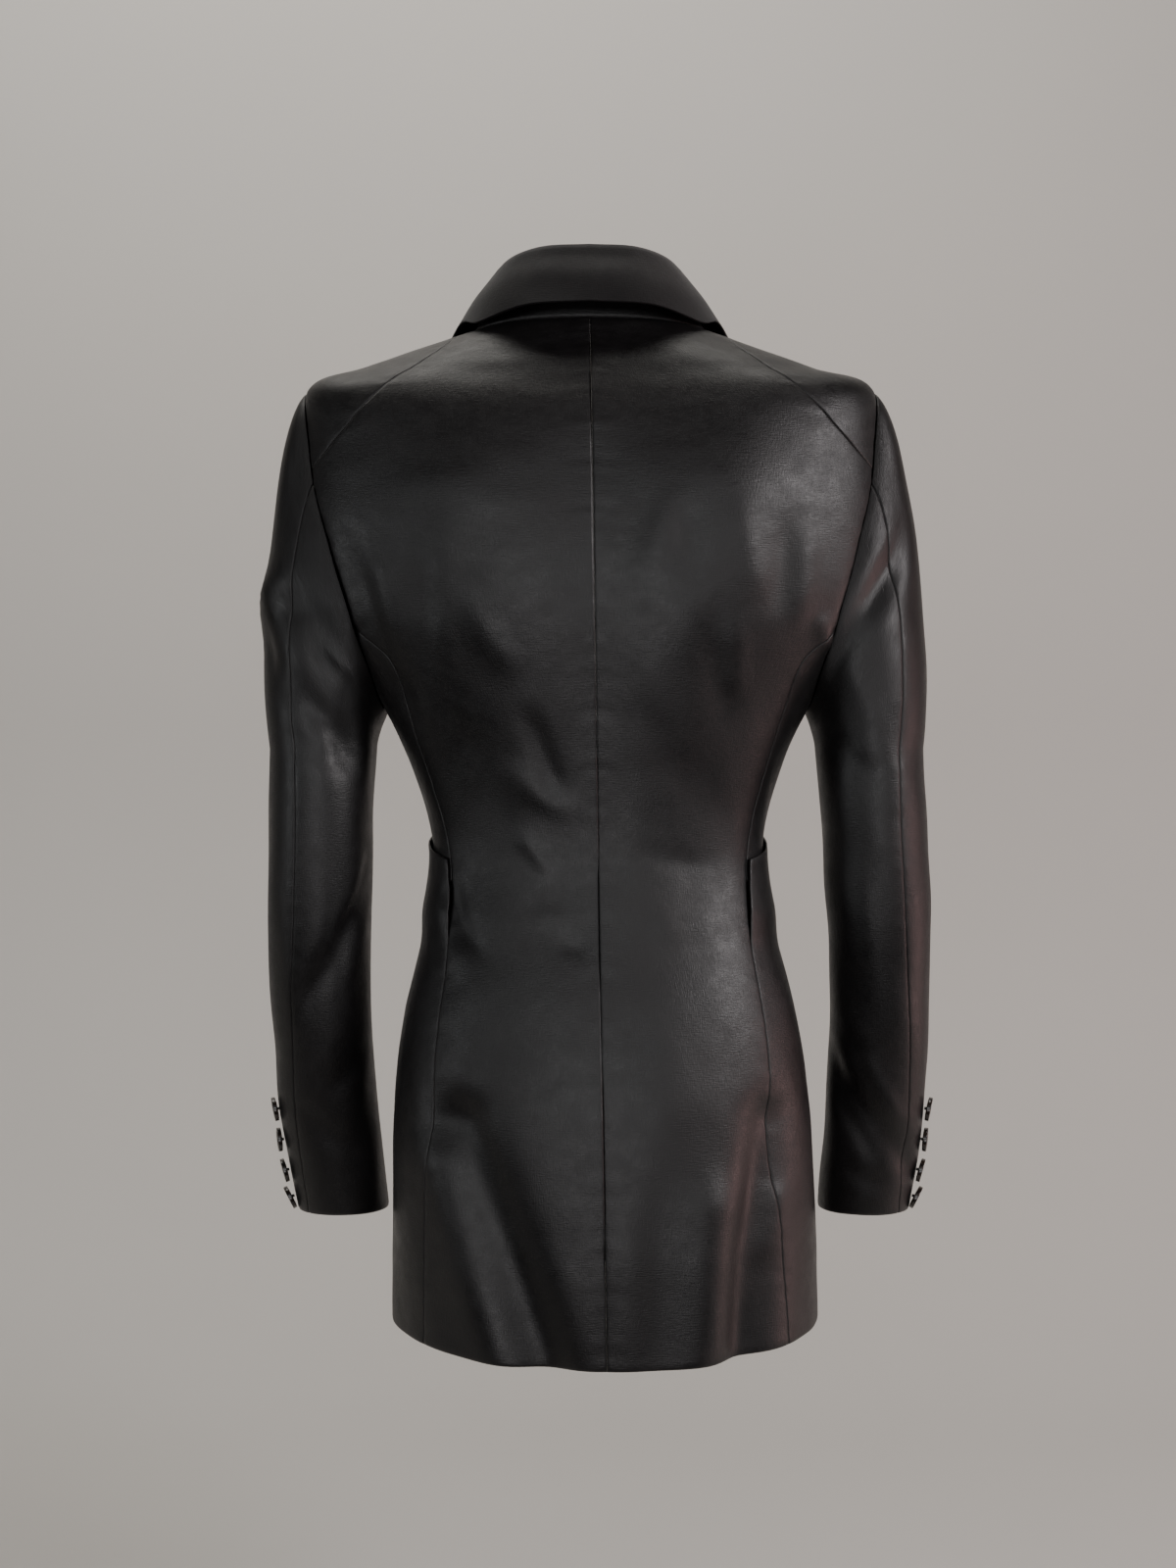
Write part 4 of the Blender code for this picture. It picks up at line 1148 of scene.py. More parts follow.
@dataclass
class SleeveForm:
    """The worn shape of a sleeve, from the armhole to the cuff."""

    body: BodyForm

    def __post_init__(self) -> None:
        """Makes the smooth rings of the arm."""
        self.rings = Smooth([-row[0] for row in SLEEVE_RINGS], [row[1:] for row in SLEEVE_RINGS])

    def ring(self, turn: np.ndarray, z: np.ndarray) -> np.ndarray:
        """Places on the arm; the turn is 0 at the back and a quarter turn outside."""
        centre_x, centre_y, half_width, half_depth = np.moveaxis(self.rings(-np.asarray(z)), -1, 0)
        sine, cosine = np.sin(turn), np.cos(turn)
        reach = (np.abs(sine) ** SLEEVE_POWER + np.abs(cosine) ** SLEEVE_POWER) ** (1 / SLEEVE_POWER)
        x = centre_x + half_width * sine / reach
        return np.stack([x, centre_y + half_depth * cosine / reach, z + 0.0 * x], axis=-1)

    def head(self, turn: np.ndarray, share: np.ndarray) -> np.ndarray:
        """Places on the sleeve head, from the armhole at share 0 to the biceps at share 1."""
        edge = self.body.armhole((math.pi / 2 - turn) / (2 * math.pi))
        start = self.body.bare(edge[..., 0] / GIRTH_RADIUS, edge[..., 1])
        end = self.ring(turn, np.full(np.shape(turn), BICEPS_Z))
        high = (1 + np.sin(turn)) / 2
        out_x, out_z = OUT_X[0] + OUT_X[1] * high, OUT_Z[0] + OUT_Z[1] * high
        out = unit(np.stack([out_x, OUT_Y * np.cos(turn), out_z], axis=-1))
        start = start + out * ARMHOLE_GAP
        leave = out * (LEAVE_REACH[0] + LEAVE_REACH[1] * high)[..., None]
        arrive = np.stack([ARRIVE_X * high, 0.0 * high, -(ARRIVE_DROP[0] + ARRIVE_DROP[1] * high)], axis=-1)
        f = np.asarray(share)[..., None]
        near = (1 + 2 * f) * (1 - f) ** 2 * start + f * (1 - f) ** 2 * leave
        return near + f * f * (3 - 2 * f) * end + f * f * (f - 1) * arrive

    def bare(self, turn: np.ndarray, row: np.ndarray) -> np.ndarray:
        """Places at a row: 0 to 1 over the head, then 1 to 4 down to the cuff."""
        z = BICEPS_Z + (CUFF_Z - BICEPS_Z) * np.clip((row - 1) / 3, 0, 1)
        return np.where((row < 1)[..., None], self.head(turn, np.clip(row, 0, 1)), self.ring(turn, z))

    def place(
        self, turn: np.ndarray, row: np.ndarray, side: Side, lift: Value = 0.0, fine: bool = True
    ) -> np.ndarray:
        """Gives places on the dressed sleeve.

        Args:
            turn: Angles round the arm.
            row: Rows down the arm.
            side: The wearer's side.
            lift: Distance off the surface.
            fine: Whether the small creases are added to the main folds.

        Returns:
            Points in the part's own frame.
        """
        step = 1e-3
        points = self.bare(turn, row)
        around = self.bare(turn + step, row) - points
        down = self.bare(turn, np.minimum(row + step, 4)) - self.bare(turn, np.maximum(row - step, 0))
        normal = unit(np.cross(around, down))
        degrees = (np.degrees(turn) + 180) % 360 - 180
        folds = np.zeros(len(points))
        for fold in SLEEVE_FOLDS[side]:
            share = (degrees - fold.start[0]) / (fold.end[0] - fold.start[0])
            line = fold.start[1] + (fold.end[1] - fold.start[1]) * share
            past = np.maximum(np.abs(share - 0.5) - 0.5, 0) * abs(fold.end[0] - fold.start[0]) / 25 * 0.02
            folds += fold.height * bell(np.hypot(points[:, 2] - line, past), fold.width)
        if fine:
            table = np.stack([turn * SLEEVE_RADIUS, points[:, 2]], axis=-1)
            for turned in (0.0, 2 * math.pi * SLEEVE_RADIUS):
                shifted = table - np.array([turned, 0.0])
                for crease in SLEEVE_CREASES[side]:
                    folds += crease.height_at(shifted)
            waves = Ripple(31 if side is Side.LEFT else 37, 0.055, 0.00050, 1.6)
            folds += waves.height_at(points[:, 1:] + points[:, :1])
        return hang(points + normal * (folds * ease(row, 0.0, 0.4) + lift)[:, None], side)


# Close rows of points along the edges: shares between the seams, then rows at the armhole and the cuff.
SEAM_SHARES, LAST_SEAM_SHARES = (0.0, 0.009, 0.022), (0.978, 0.991, 1.0)
ARMHOLE_ROWS, HEM_ROWS = (0.0, 0.007, 0.016, 0.03), (3.985, 3.993, 4.0)
HEAD_ROWS, ARM_ROWS = 34, 82


@dataclass
class Sleeve:
    """The top and under sleeve of one side."""

    form: SleeveForm
    side: Side
    cuts: dict[str, Cut]

    def build(self, materials: Sequence[Material]) -> None:
        """Builds both pieces of the sleeve."""
        hind = Smooth(SLEEVE_SEAM_PLACES, [[turn] for turn in HIND_SEAM])
        again = Smooth(SLEEVE_SEAM_PLACES, [[turn + 360] for turn in HIND_SEAM])
        fore = Smooth(SLEEVE_SEAM_PLACES, [[turn] for turn in FORE_SEAM])
        self._piece("top_sleeve", hind, fore, 48, materials)
        self._piece("under_sleeve", fore, again, 42, materials)

    def _piece(
        self, name: str, first: Smooth, last: Smooth, columns: int, materials: Sequence[Material]
    ) -> None:
        """One piece between two seams.

        Args:
            name: The piece's name without its side.
            first: Angle of its first seam at each row.
            last: Angle of its last seam at each row.
            columns: Number of columns of points.
            materials: The outer and the inner finish.
        """
        inner = np.linspace(0.04, 0.96, columns)
        shares = np.concatenate([SEAM_SHARES, inner, LAST_SEAM_SHARES])
        head, arm = np.linspace(0.05, 1.0, HEAD_ROWS)[:-1], np.linspace(1, 3.975, ARM_ROWS)
        rows = np.concatenate([ARMHOLE_ROWS, head, arm, HEM_ROWS])
        half_gap = SLEEVE_SEAM_HALF_GAP / SLEEVE_RADIUS
        start = np.radians(first(rows)[:, 0])[:, None] + half_gap
        end = np.radians(last(rows)[:, 0])[:, None] - half_gap
        turns = (start + (end - start) * shares[None, :]).reshape(-1)
        places = np.repeat(rows, len(shares))
        from_seam = np.minimum(turns.reshape(len(rows), -1) - start, end - turns.reshape(len(rows), -1))
        from_seam = from_seam.reshape(-1) * SLEEVE_RADIUS
        fall, width = EdgeKind.SEAM.value
        lift = -fall * bell(from_seam, width)
        down = np.where(places < 1, places * HEAD_LENGTH, HEAD_LENGTH + (places - 1) * ROW_LENGTH)
        lift += SLEEVE_PUCKER.height_at(down, from_seam) * ease(places, 0.02, 0.2)
        fall, width = EdgeKind.FOLD.value
        lift -= fall * bell(CUFF_LENGTH - down, width)
        points = self.form.place(turns, places, self.side, lift)
        uvs = np.stack([turns * SLEEVE_RADIUS, -down], axis=-1)
        faces = [face[:: -self.side.value] for face in grid_faces(len(rows), len(shares))]
        word = self.side.label
        piece = cloth_object(f"{name}_cloth_{word}", points, faces, uvs, CLOTH_WALL, materials)
        declare(piece, f"{name}_{word}", "satin", self.cuts[name])


# Materials


def new_group(name: str, inputs: dict[str, float], outputs: Sequence[str]) -> NodeTree:
    """Starts a shader node group.

    Args:
        name: The group's name.
        inputs: Its number inputs with their starting values.
        outputs: Its number outputs.

    Returns:
        The group, with its input and output nodes in it.
    """
    group = bpy.data.node_groups.new(name, "ShaderNodeTree")
    for label, value in inputs.items():
        group.interface.new_socket(label, in_out="INPUT", socket_type="NodeSocketFloat").default_value = value
    for label in outputs:
        group.interface.new_socket(label, in_out="OUTPUT", socket_type="NodeSocketFloat")
    group.nodes.new("NodeGroupInput").name = "In"
    group.nodes.new("NodeGroupOutput").name = "Out"
    return group


class NodeKit:
    """Short ways to add and join shader nodes in one tree."""

    def __init__(self, tree: NodeTree) -> None:
        """Keeps the tree."""
        self.tree = tree

    def add(self, kind: str, **settings: object) -> Node:
        """Adds a node and sets its properties."""
        node = self.tree.nodes.new(kind)
        for key, value in settings.items():
            setattr(node, key, value)
        return node

    def join(self, source: NodeSocket, target: NodeSocket) -> None:
        """Links two sockets."""
        self.tree.links.new(source, target)

    def math(self, operation: str, first: object, second: object = 0.0) -> NodeSocket:
        """Adds a math node on two sockets or numbers, and gives its output."""
        node = self.add("ShaderNodeMath", operation=operation)
        for socket, value in zip(node.inputs, (first, second)):
            if isinstance(value, (int, float)):
                socket.default_value = value
            else:
                self.join(value, socket)
        return node.outputs[0]

    def cut_place(self, scale: tuple[float, float, float]) -> NodeSocket:
        """The place on the flat cut, in metres, times a scale."""
        uv = self.add("ShaderNodeUVMap", uv_map="Cut")
        mapping = self.add("ShaderNodeMapping")
        mapping.inputs["Scale"].default_value = scale
        self.join(uv.outputs["UV"], mapping.inputs["Vector"])
        return mapping.outputs["Vector"]

    def noise(self, place: NodeSocket, scale: float, detail: float = 2.0) -> NodeSocket:
        """Adds a noise at a place, and gives its value."""
        node = self.add("ShaderNodeTexNoise")
        set_inputs(node, {"Scale": scale, "Detail": detail})
        self.join(place, node.inputs["Vector"])
        return node.outputs["Fac"]

    def tint(
        self, shader: Node, first: Sequence[float], second: Sequence[float], share: NodeSocket
    ) -> None:
        """Colours a shader between a first and a second colour, by a share."""
        mix = self.add("ShaderNodeMix", data_type="RGBA")
        set_inputs(mix, {"A": (*first, 1.0), "B": (*second, 1.0)})
        self.join(share, mix.inputs["Factor"])
        self.join(mix.outputs["Result"], shader.inputs["Base Color"])


def set_inputs(node: Node, values: dict[str, object]) -> None:
    """Sets inputs of a node by their names."""
    for label, value in values.items():
        node.inputs[label].default_value = value


def new_material(name: str) -> tuple[Material, NodeKit, Node]:
    material = bpy.data.materials.new(name)
    material.use_nodes = True
    return material, NodeKit(material.node_tree), material.node_tree.nodes["Principled BSDF"]


# How fine the weave, the clouds and the mottle are: cells to the metre of the flat cut, across and along it.
WARP, WEFT, SLUB = (1350.0, 190.0, 1.0), (210.0, 1250.0, 1.0), (420.0, 240.0, 1.0)
CLOUD_SCALE, MOTTLE_SCALE = 14.0, 90.0
SLUB_SHARE = 0.35  # how much the slubs show beside the threads


def weave_group() -> NodeTree:
    """The satin's close threads and slubs: a height, and a mask of uneven threads."""
    group = new_group("Satin weave", {"Slub": 1.0, "Thread": 1.0}, ("Height", "Uneven"))
    kit = NodeKit(group)
    given, out = group.nodes["In"], group.nodes["Out"]
    warp = kit.noise(kit.cut_place(WARP), 1.0, 2.0)
    weft = kit.noise(kit.cut_place(WEFT), 1.0, 2.0)
    slub = kit.noise(kit.cut_place(SLUB), 1.0, 3.0)
    threads = kit.math("MULTIPLY", kit.math("ADD", warp, weft), given.outputs["Thread"])
    slubs = kit.math("MULTIPLY", slub, kit.math("MULTIPLY", given.outputs["Slub"], SLUB_SHARE))
    kit.join(kit.math("ADD", threads, slubs), out.inputs["Height"])
    kit.join(kit.math("MULTIPLY", kit.math("ADD", weft, slub), 0.5), out.inputs["Uneven"])
    return group


def bloom_group() -> NodeTree:
    """Broad soft clouds for the roughness and the painted warm sheen, and a finer mottle for the roughness.
    """
    group = new_group("Handled sheen", {"Size": CLOUD_SCALE}, ("Cloud", "Mottle"))
    kit = NodeKit(group)
    given, out = group.nodes["In"], group.nodes["Out"]
    place = kit.cut_place((1.0, 1.0, 1.0))
    cloud = kit.add("ShaderNodeTexNoise")
    cloud.inputs["Detail"].default_value = 3.0
    kit.join(place, cloud.inputs["Vector"])
    kit.join(given.outputs["Size"], cloud.inputs["Scale"])
    kit.join(cloud.outputs["Fac"], out.inputs["Cloud"])
    kit.join(kit.noise(place, MOTTLE_SCALE, 4.0), out.inputs["Mottle"])
    return group


@dataclass(frozen=True)
class SatinFinish:
    """Black satin-faced cloth."""

    name: str
    colour: Colour = (0.0030, 0.0029, 0.0031)
    # painted warm sheen: the base colour turns to this in the clouds, standing in for warm light on the satin
    painted_warm_sheen: Colour = (0.0062, 0.0040, 0.0045)
    roughness: float = 0.45
    spread: float = 0.22
    specular: float = 0.55
    anisotropy: float = 0.35
    sheen: float = 0.02
    bump: float = 0.5
    bump_depth: float = 0.0003
    sheen_roughness: float = 0.45
    slub: float = 1.0

    def make(self, weave: NodeTree, bloom: NodeTree) -> Material:
        """Makes the material.

        Args:
            weave: The shared weave group.
            bloom: The shared sheen group.

        Returns:
            The finished material.
        """
        material, kit, shader = new_material(self.name)
        set_inputs(shader, {
            "Specular IOR Level": self.specular, "Anisotropic": self.anisotropy,
            "Sheen Weight": self.sheen, "Sheen Roughness": self.sheen_roughness,
        })
        threads = kit.add("ShaderNodeGroup", node_tree=weave)
        set_inputs(threads, {"Slub": self.slub})
        clouds = kit.add("ShaderNodeGroup", node_tree=bloom)
        # Painted warm sheen: the base colour is tinted warm in the broad clouds.
        kit.tint(shader, self.colour, self.painted_warm_sheen, kit.math("MULTIPLY", clouds.outputs["Cloud"], 0.8))
        uneven = kit.math("ADD", clouds.outputs["Mottle"], threads.outputs["Uneven"])
        uneven = kit.math("ADD", uneven, clouds.outputs["Cloud"])
        rough = kit.math("MULTIPLY", kit.math("SUBTRACT", uneven, 1.5), self.spread)
        kit.join(kit.math("ADD", rough, self.roughness), shader.inputs["Roughness"])
        bump = kit.add("ShaderNodeBump")
        set_inputs(bump, {"Strength": self.bump, "Distance": self.bump_depth})
        kit.join(threads.outputs["Height"], bump.inputs["Height"])
        kit.join(bump.outputs["Normal"], shader.inputs["Normal"])
        grain = kit.add("ShaderNodeTangent", direction_type="UV_MAP", uv_map="Cut")
        kit.join(grain.outputs["Tangent"], shader.inputs["Tangent"])
        return material


@dataclass(frozen=True)
class HornFinish:
    """Dark polished button material with faint streaks."""

    name: str
    colour: Colour = (0.010, 0.008, 0.007)
    streak: Colour = (0.035, 0.022, 0.015)
    roughness: float = 0.22
    coat: float = 0.35
    coat_roughness: float = 0.12
    ring_scale: float = 60.0
    ring_distortion: float = 9.0
    scuff_scale: float = 900.0
    scuff_spread: float = 0.16

    def make(self) -> Material:
        """Makes the material."""
        material, kit, shader = new_material(self.name)
        set_inputs(shader, {"Coat Weight": self.coat, "Coat Roughness": self.coat_roughness})
        place = kit.add("ShaderNodeTexCoord").outputs["Object"]
        wave = kit.add("ShaderNodeTexWave", wave_type="RINGS")
        set_inputs(wave, {"Scale": self.ring_scale, "Distortion": self.ring_distortion})
        kit.join(place, wave.inputs["Vector"])
        kit.tint(shader, self.colour, self.streak, kit.math("MULTIPLY", wave.outputs["Fac"], 0.6))
        scuffs = kit.math("MULTIPLY", kit.noise(place, self.scuff_scale, 3.0), self.scuff_spread)
        kit.join(kit.math("ADD", scuffs, self.roughness - self.scuff_spread / 2), shader.inputs["Roughness"])
        return material


@dataclass(frozen=True)
class ThreadFinish:
    """Twisted sewing thread."""

    name: str
    colour: Colour = (0.012, 0.011, 0.012)
    highlight: float = 2.2
    twist_scale: float = 3500.0
    sheen: float = 0.3

    def make(self) -> Material:
        """Makes the material."""
        material, kit, shader = new_material(self.name)
        set_inputs(shader, {"Sheen Weight": self.sheen})
        twist = kit.noise(kit.add("ShaderNodeTexCoord").outputs["Object"], self.twist_scale, 2.0)
        kit.tint(shader, self.colour, [self.highlight * part for part in self.colour], twist)
        kit.join(kit.math("ADD", kit.math("MULTIPLY", twist, 0.2), 0.5), shader.inputs["Roughness"])
        return material


@dataclass(frozen=True)
class StageFinish:
    """Matte pale paint of the floor and backdrop."""

    name: str
    colour: Colour = (0.62, 0.60, 0.57)
    shade: float = 0.96
    patch_scale: float = 3.0
    roughness: float = 0.9

    def make(self) -> Material:
        """Makes the material."""
        material, kit, shader = new_material(self.name)
        patches = kit.noise(kit.add("ShaderNodeTexCoord").outputs["Object"], self.patch_scale, 4.0)
        kit.tint(shader, self.colour, [self.shade * part for part in self.colour], patches)
        set_inputs(shader, {"Roughness": self.roughness})
        return material


# Buttons


@dataclass
class ButtonModel:
    """A four-hole button with its rim, dish and thread shank, standing on z = 0.

    The rims and the dish's wall are shares of the radius.
    """

    radius: float
    thickness: float = 0.0030
    shank: float = 0.0020
    hole: float = 0.0009
    spacing: float = 0.0017
    rim: float = 0.24
    dish_depth: float = 0.0007
    dish_wall: float = 0.06
    dish_step: float = 0.0002
    back_rim: float = 0.35
    back_step: float = 0.0004
    edge_round: float = 0.0004
    yarn: float = 0.00026
    strand: float = 0.00028
    winding: float = 0.00085
    turns: int = 6
    core: float = 0.0008

    def build(self, name: str, horn: Material, thread: Material) -> Object:
        """Models the button by hand operators.

        Args:
            name: The piece's name.
            horn: The finish of the disc.
            thread: The finish of the thread.

        Returns:
            The button as one object at the origin.
        """
        deselect_all()
        middle = self.shank + self.thickness / 2
        bpy.ops.mesh.primitive_cylinder_add(
            vertices=40, radius=self.radius, depth=self.thickness, location=(0, 0, middle)
        )
        disc = bpy.context.active_object
        disc.name = name
        bpy.ops.object.transform_apply(location=True, rotation=True, scale=True)
        self._select_faces(disc, lambda face: face.normal.z > 0.9)
        bpy.ops.mesh.inset(thickness=self.radius * self.rim, depth=0.0)
        bpy.ops.transform.translate(value=(0, 0, -self.dish_depth))
        bpy.ops.mesh.inset(thickness=self.radius * self.dish_wall, depth=-self.dish_step)
        self._select_faces(disc, lambda face: face.normal.z < -0.9)
        bpy.ops.mesh.inset(thickness=self.radius * self.back_rim, depth=self.back_step)
        bpy.ops.object.mode_set(mode="OBJECT")
        bevel = disc.modifiers.new("Soft edges", "BEVEL")
        bevel.width, bevel.segments, bevel.limit_method = self.edge_round, 3, "ANGLE"
        apply_modifier(disc, bevel.name)
        self._drill(disc)
        disc.data.materials.clear()
        for material in (horn, thread):
            disc.data.materials.append(material)
        select_only(disc)
        bpy.ops.object.shade_smooth_by_angle(angle=math.radians(40))
        select_only(disc, *self._threads(thread))
        bpy.ops.object.join()
        disc.select_set(False)
        return disc

    def _select_faces(self, piece: Object, wanted: Callable[[MeshPolygon], bool]) -> None:
        """Selects the faces that a rule picks and stays in edit mode."""
        if bpy.context.mode != "OBJECT":
            bpy.ops.object.mode_set(mode="OBJECT")
        select_only(piece)
        bpy.ops.object.mode_set(mode="EDIT")
        bpy.ops.mesh.select_mode(type="FACE")
        bpy.ops.mesh.select_all(action="DESELECT")
        bpy.ops.object.mode_set(mode="OBJECT")
        for face in piece.data.polygons:
            face.select = wanted(face)
        bpy.ops.object.mode_set(mode="EDIT")

    def _holes(self) -> list[Spot]:
        """Where the four holes are."""
        half = self.spacing
        return [(-half, -half), (half, -half), (half, half), (-half, half)]

    def _drill(self, disc: Object) -> None:
        """Cuts the four holes through the disc."""
        for x, y in self._holes():
            deselect_all()
            bpy.ops.mesh.primitive_cylinder_add(
                vertices=12, radius=self.hole, depth=0.02, location=(x, y, self.shank + self.thickness / 2)
            )
            cutter = bpy.context.active_object
            cut = disc.modifiers.new("Hole", "BOOLEAN")
            cut.operation, cut.object, cut.solver = "DIFFERENCE", cutter, "EXACT"
            apply_modifier(disc, cut.name)
            bpy.data.objects.remove(cutter)

    def _threads(self, thread: Material) -> list[Object]:
        """The thread through the holes and the wound shank under the disc."""
        half = self.spacing
        dish = self.shank + self.thickness - 0.0008
        ends, sides, crown = -0.0018, 0.0002, 0.00035
        arch = ((-half, ends), (-half * 0.9, sides), (0.0, crown), (half * 0.9, sides), (half, ends))
        made = []
        for row in (-half, half):
            for strand in (-self.strand, self.strand):
                path = [(x, row + strand, dish + rise) for x, rise in arch]
                made.append(self._tube("Stitch", path, self.yarn, thread))
        count, start = 60, 0.0002
        coil = []
        for step in range(count + 1):
            turn = 2 * math.pi * self.turns * step / count
            height = start + (self.shank - start) * step / count
            coil.append((self.winding * math.cos(turn), self.winding * math.sin(turn), height))
        made.append(self._tube("Shank", coil, self.yarn, thread))
        core = [(0, 0, 0), (0, 0, self.shank * 0.5), (0, 0, self.shank + 0.0006)]
        made.append(self._tube("Core", core, self.core, thread))
        return made

    def _tube(
        self, name: str, path: Sequence[Sequence[float]], radius: float, material: Material
    ) -> Object:
        """A round closed tube of thread along a path, as a mesh."""
        curve = bpy.data.curves.new(name, "CURVE")
        curve.dimensions, curve.bevel_depth, curve.bevel_resolution = "3D", radius, 1
        curve.use_fill_caps = True
        curve.materials.append(material)
        line = curve.splines.new("POLY")
        line.points.add(len(path) - 1)
        for point, place in zip(line.points, path):
            point.co = (*place, 1.0)
        tube = add_to_scene(name, curve)
        select_only(tube)
        bpy.ops.object.convert(target="MESH")
        bpy.ops.object.shade_smooth()
        return tube


@dataclass
class Buttons:
    """All the buttons, in place on their cloth."""

    body: BodyForm
    sleeve: SleeveForm
    jacket: JacketBody
    radius: float = 0.0088
    front_radius: float = 0.0110
    clearance: float = 0.0003
    turn: float = math.radians(74)
    levels: tuple[float, ...] = (-0.5645, -0.5880, -0.6110, -0.6310)
    tilts: tuple[float, ...] = (4, -3, 5, 16)
    tilt_reach: float = 0.0011
    probe: float = 0.01

    def build(self, horn: Material, thread: Material) -> None:
        """Models each size once and sets its copies in place.

        Args:
            horn: The finish of the discs.
            thread: The finish of the thread.
        """
        pattern = ButtonModel(self.radius).build("cuff_button_pattern", horn, thread)
        for side in Side:
            for number, (z, tilt) in enumerate(zip(self.levels, self.tilts), start=1):
                place, facing = self._cuff_place(side, z, tilt)
                name = f"cuff_button_{side.label}_{number}"
                self._set(pattern, f"{name}_horn", place, facing, name, spin=0.5 * number + side.value)
        bpy.data.objects.remove(pattern)
        pattern = ButtonModel(self.front_radius).build("front_button_pattern", horn, thread)
        place, facing = self._front_place()
        self._set(pattern, "front_button_horn", place, facing, "front_button", spin=0.1)
        bpy.data.objects.remove(pattern)

    def _cuff_place(self, side: Side, z: float, tilt: float) -> tuple[np.ndarray, np.ndarray]:
        """Where a cuff button's shank starts and where it points."""
        turn, row = np.array([self.turn]), np.array([1 + 3 * (z - BICEPS_Z) / (CUFF_Z - BICEPS_Z)])
        foot = self.sleeve.place(turn, row, side, self.clearance, fine=False)[0]
        above = self.sleeve.place(turn, row, side, self.probe + self.clearance, fine=False)[0]
        facing = unit(above - foot)
        facing = unit(facing - np.array([0.0, 0.0, math.tan(math.radians(tilt))]))
        slide = math.sin(math.radians(abs(tilt))) * self.tilt_reach
        return foot + facing * slide, facing

    def _front_place(self) -> tuple[np.ndarray, np.ndarray]:
        """Where the front button's shank starts and where it points."""
        table = flat(np.array([math.pi]), np.array([FRONT_BUTTON_LEVEL]))
        lift = self.jacket.front_lift(table)
        foot = self.body.place(table, Side.RIGHT, lift + self.clearance, fine=False)[0]
        above = self.body.place(table, Side.RIGHT, lift + self.probe + self.clearance, fine=False)[0]
        return foot, unit(above - foot)

    def _set(
        self, pattern: Object, name: str, place: np.ndarray, facing: np.ndarray, node: str, spin: float
    ) -> None:
        mesh = pattern.data.copy()
        turn = Vector(facing).to_track_quat("Z", "Y").to_matrix().to_4x4()
        mesh.transform(Matrix.Translation(Vector(place)) @ turn @ Matrix.Rotation(spin, 4, "Z"))
        declare(add_to_scene(name, mesh), node, "horn")


# Stage, light and camera


@dataclass(frozen=True)
class Lamp:
    """A soft rectangular light: its place, size, power and colour, and the point that it faces."""

    name: str
    place: tuple[float, float, float]
    size: Spot
    power: float
    colour: Colour
    aim: tuple[float, float, float] = (0.0, 0.05, -0.35)

    def build(self) -> None:
        """Adds the light to the scene."""
        lamp = bpy.data.lights.new(self.name, "AREA")
        lamp.shape, (lamp.size, lamp.size_y) = "RECTANGLE", self.size
        lamp.energy, lamp.color = self.power, self.colour
        light = add_to_scene(self.name, lamp)
        light.location = self.place
        light.rotation_euler = (Vector(self.aim) - Vector(self.place)).to_track_quat("-Z", "Y").to_euler()


WALL_Y = -1.5
LAMPS = (
    Lamp("High right", (-1.74, 1.02, 0.42), (0.8, 0.4), 18.0, (1.0, 0.94, 0.95)),
    Lamp("High centre", (-0.10, 1.79, 0.76), (1.3, 0.5), 1.2, (1.0, 0.93, 0.94)),
    Lamp("Right", (-1.78, 1.08, 0.09), (0.9, 0.3), 4.5, (0.99, 1.0, 0.99)),
    Lamp("Centre", (0.12, 2.06, 0.09), (1.3, 0.3), 5.5, (0.98, 1.0, 1.0)),
    Lamp("Left", (1.32, 1.62, 0.09), (1.1, 0.5), 2.4, (0.98, 1.0, 1.0)),
    Lamp("Low centre", (0.05, 2.08, -0.68), (1.1, 0.4), 6.0, (1.0, 0.96, 0.97)),
    Lamp("Low right", (-1.57, 0.96, -0.95), (0.8, 0.5), 1.1, (1.0, 1.0, 1.0)),
    Lamp("Warm side", (-2.08, 0.05, -0.64), (0.6, 0.8), 8.0, (1.0, 0.62, 0.60)),
    Lamp("Window", (2.00, 0.80, -0.30), (0.3, 0.4), 4.0, (0.97, 0.99, 1.0), (0.22, 0.0, -0.26)),
    Lamp("Backdrop", (0.4, -0.3, 1.7), (2.4, 1.2), 36.0, (1.0, 0.97, 0.91), (0.2, WALL_Y, -0.2)),
)


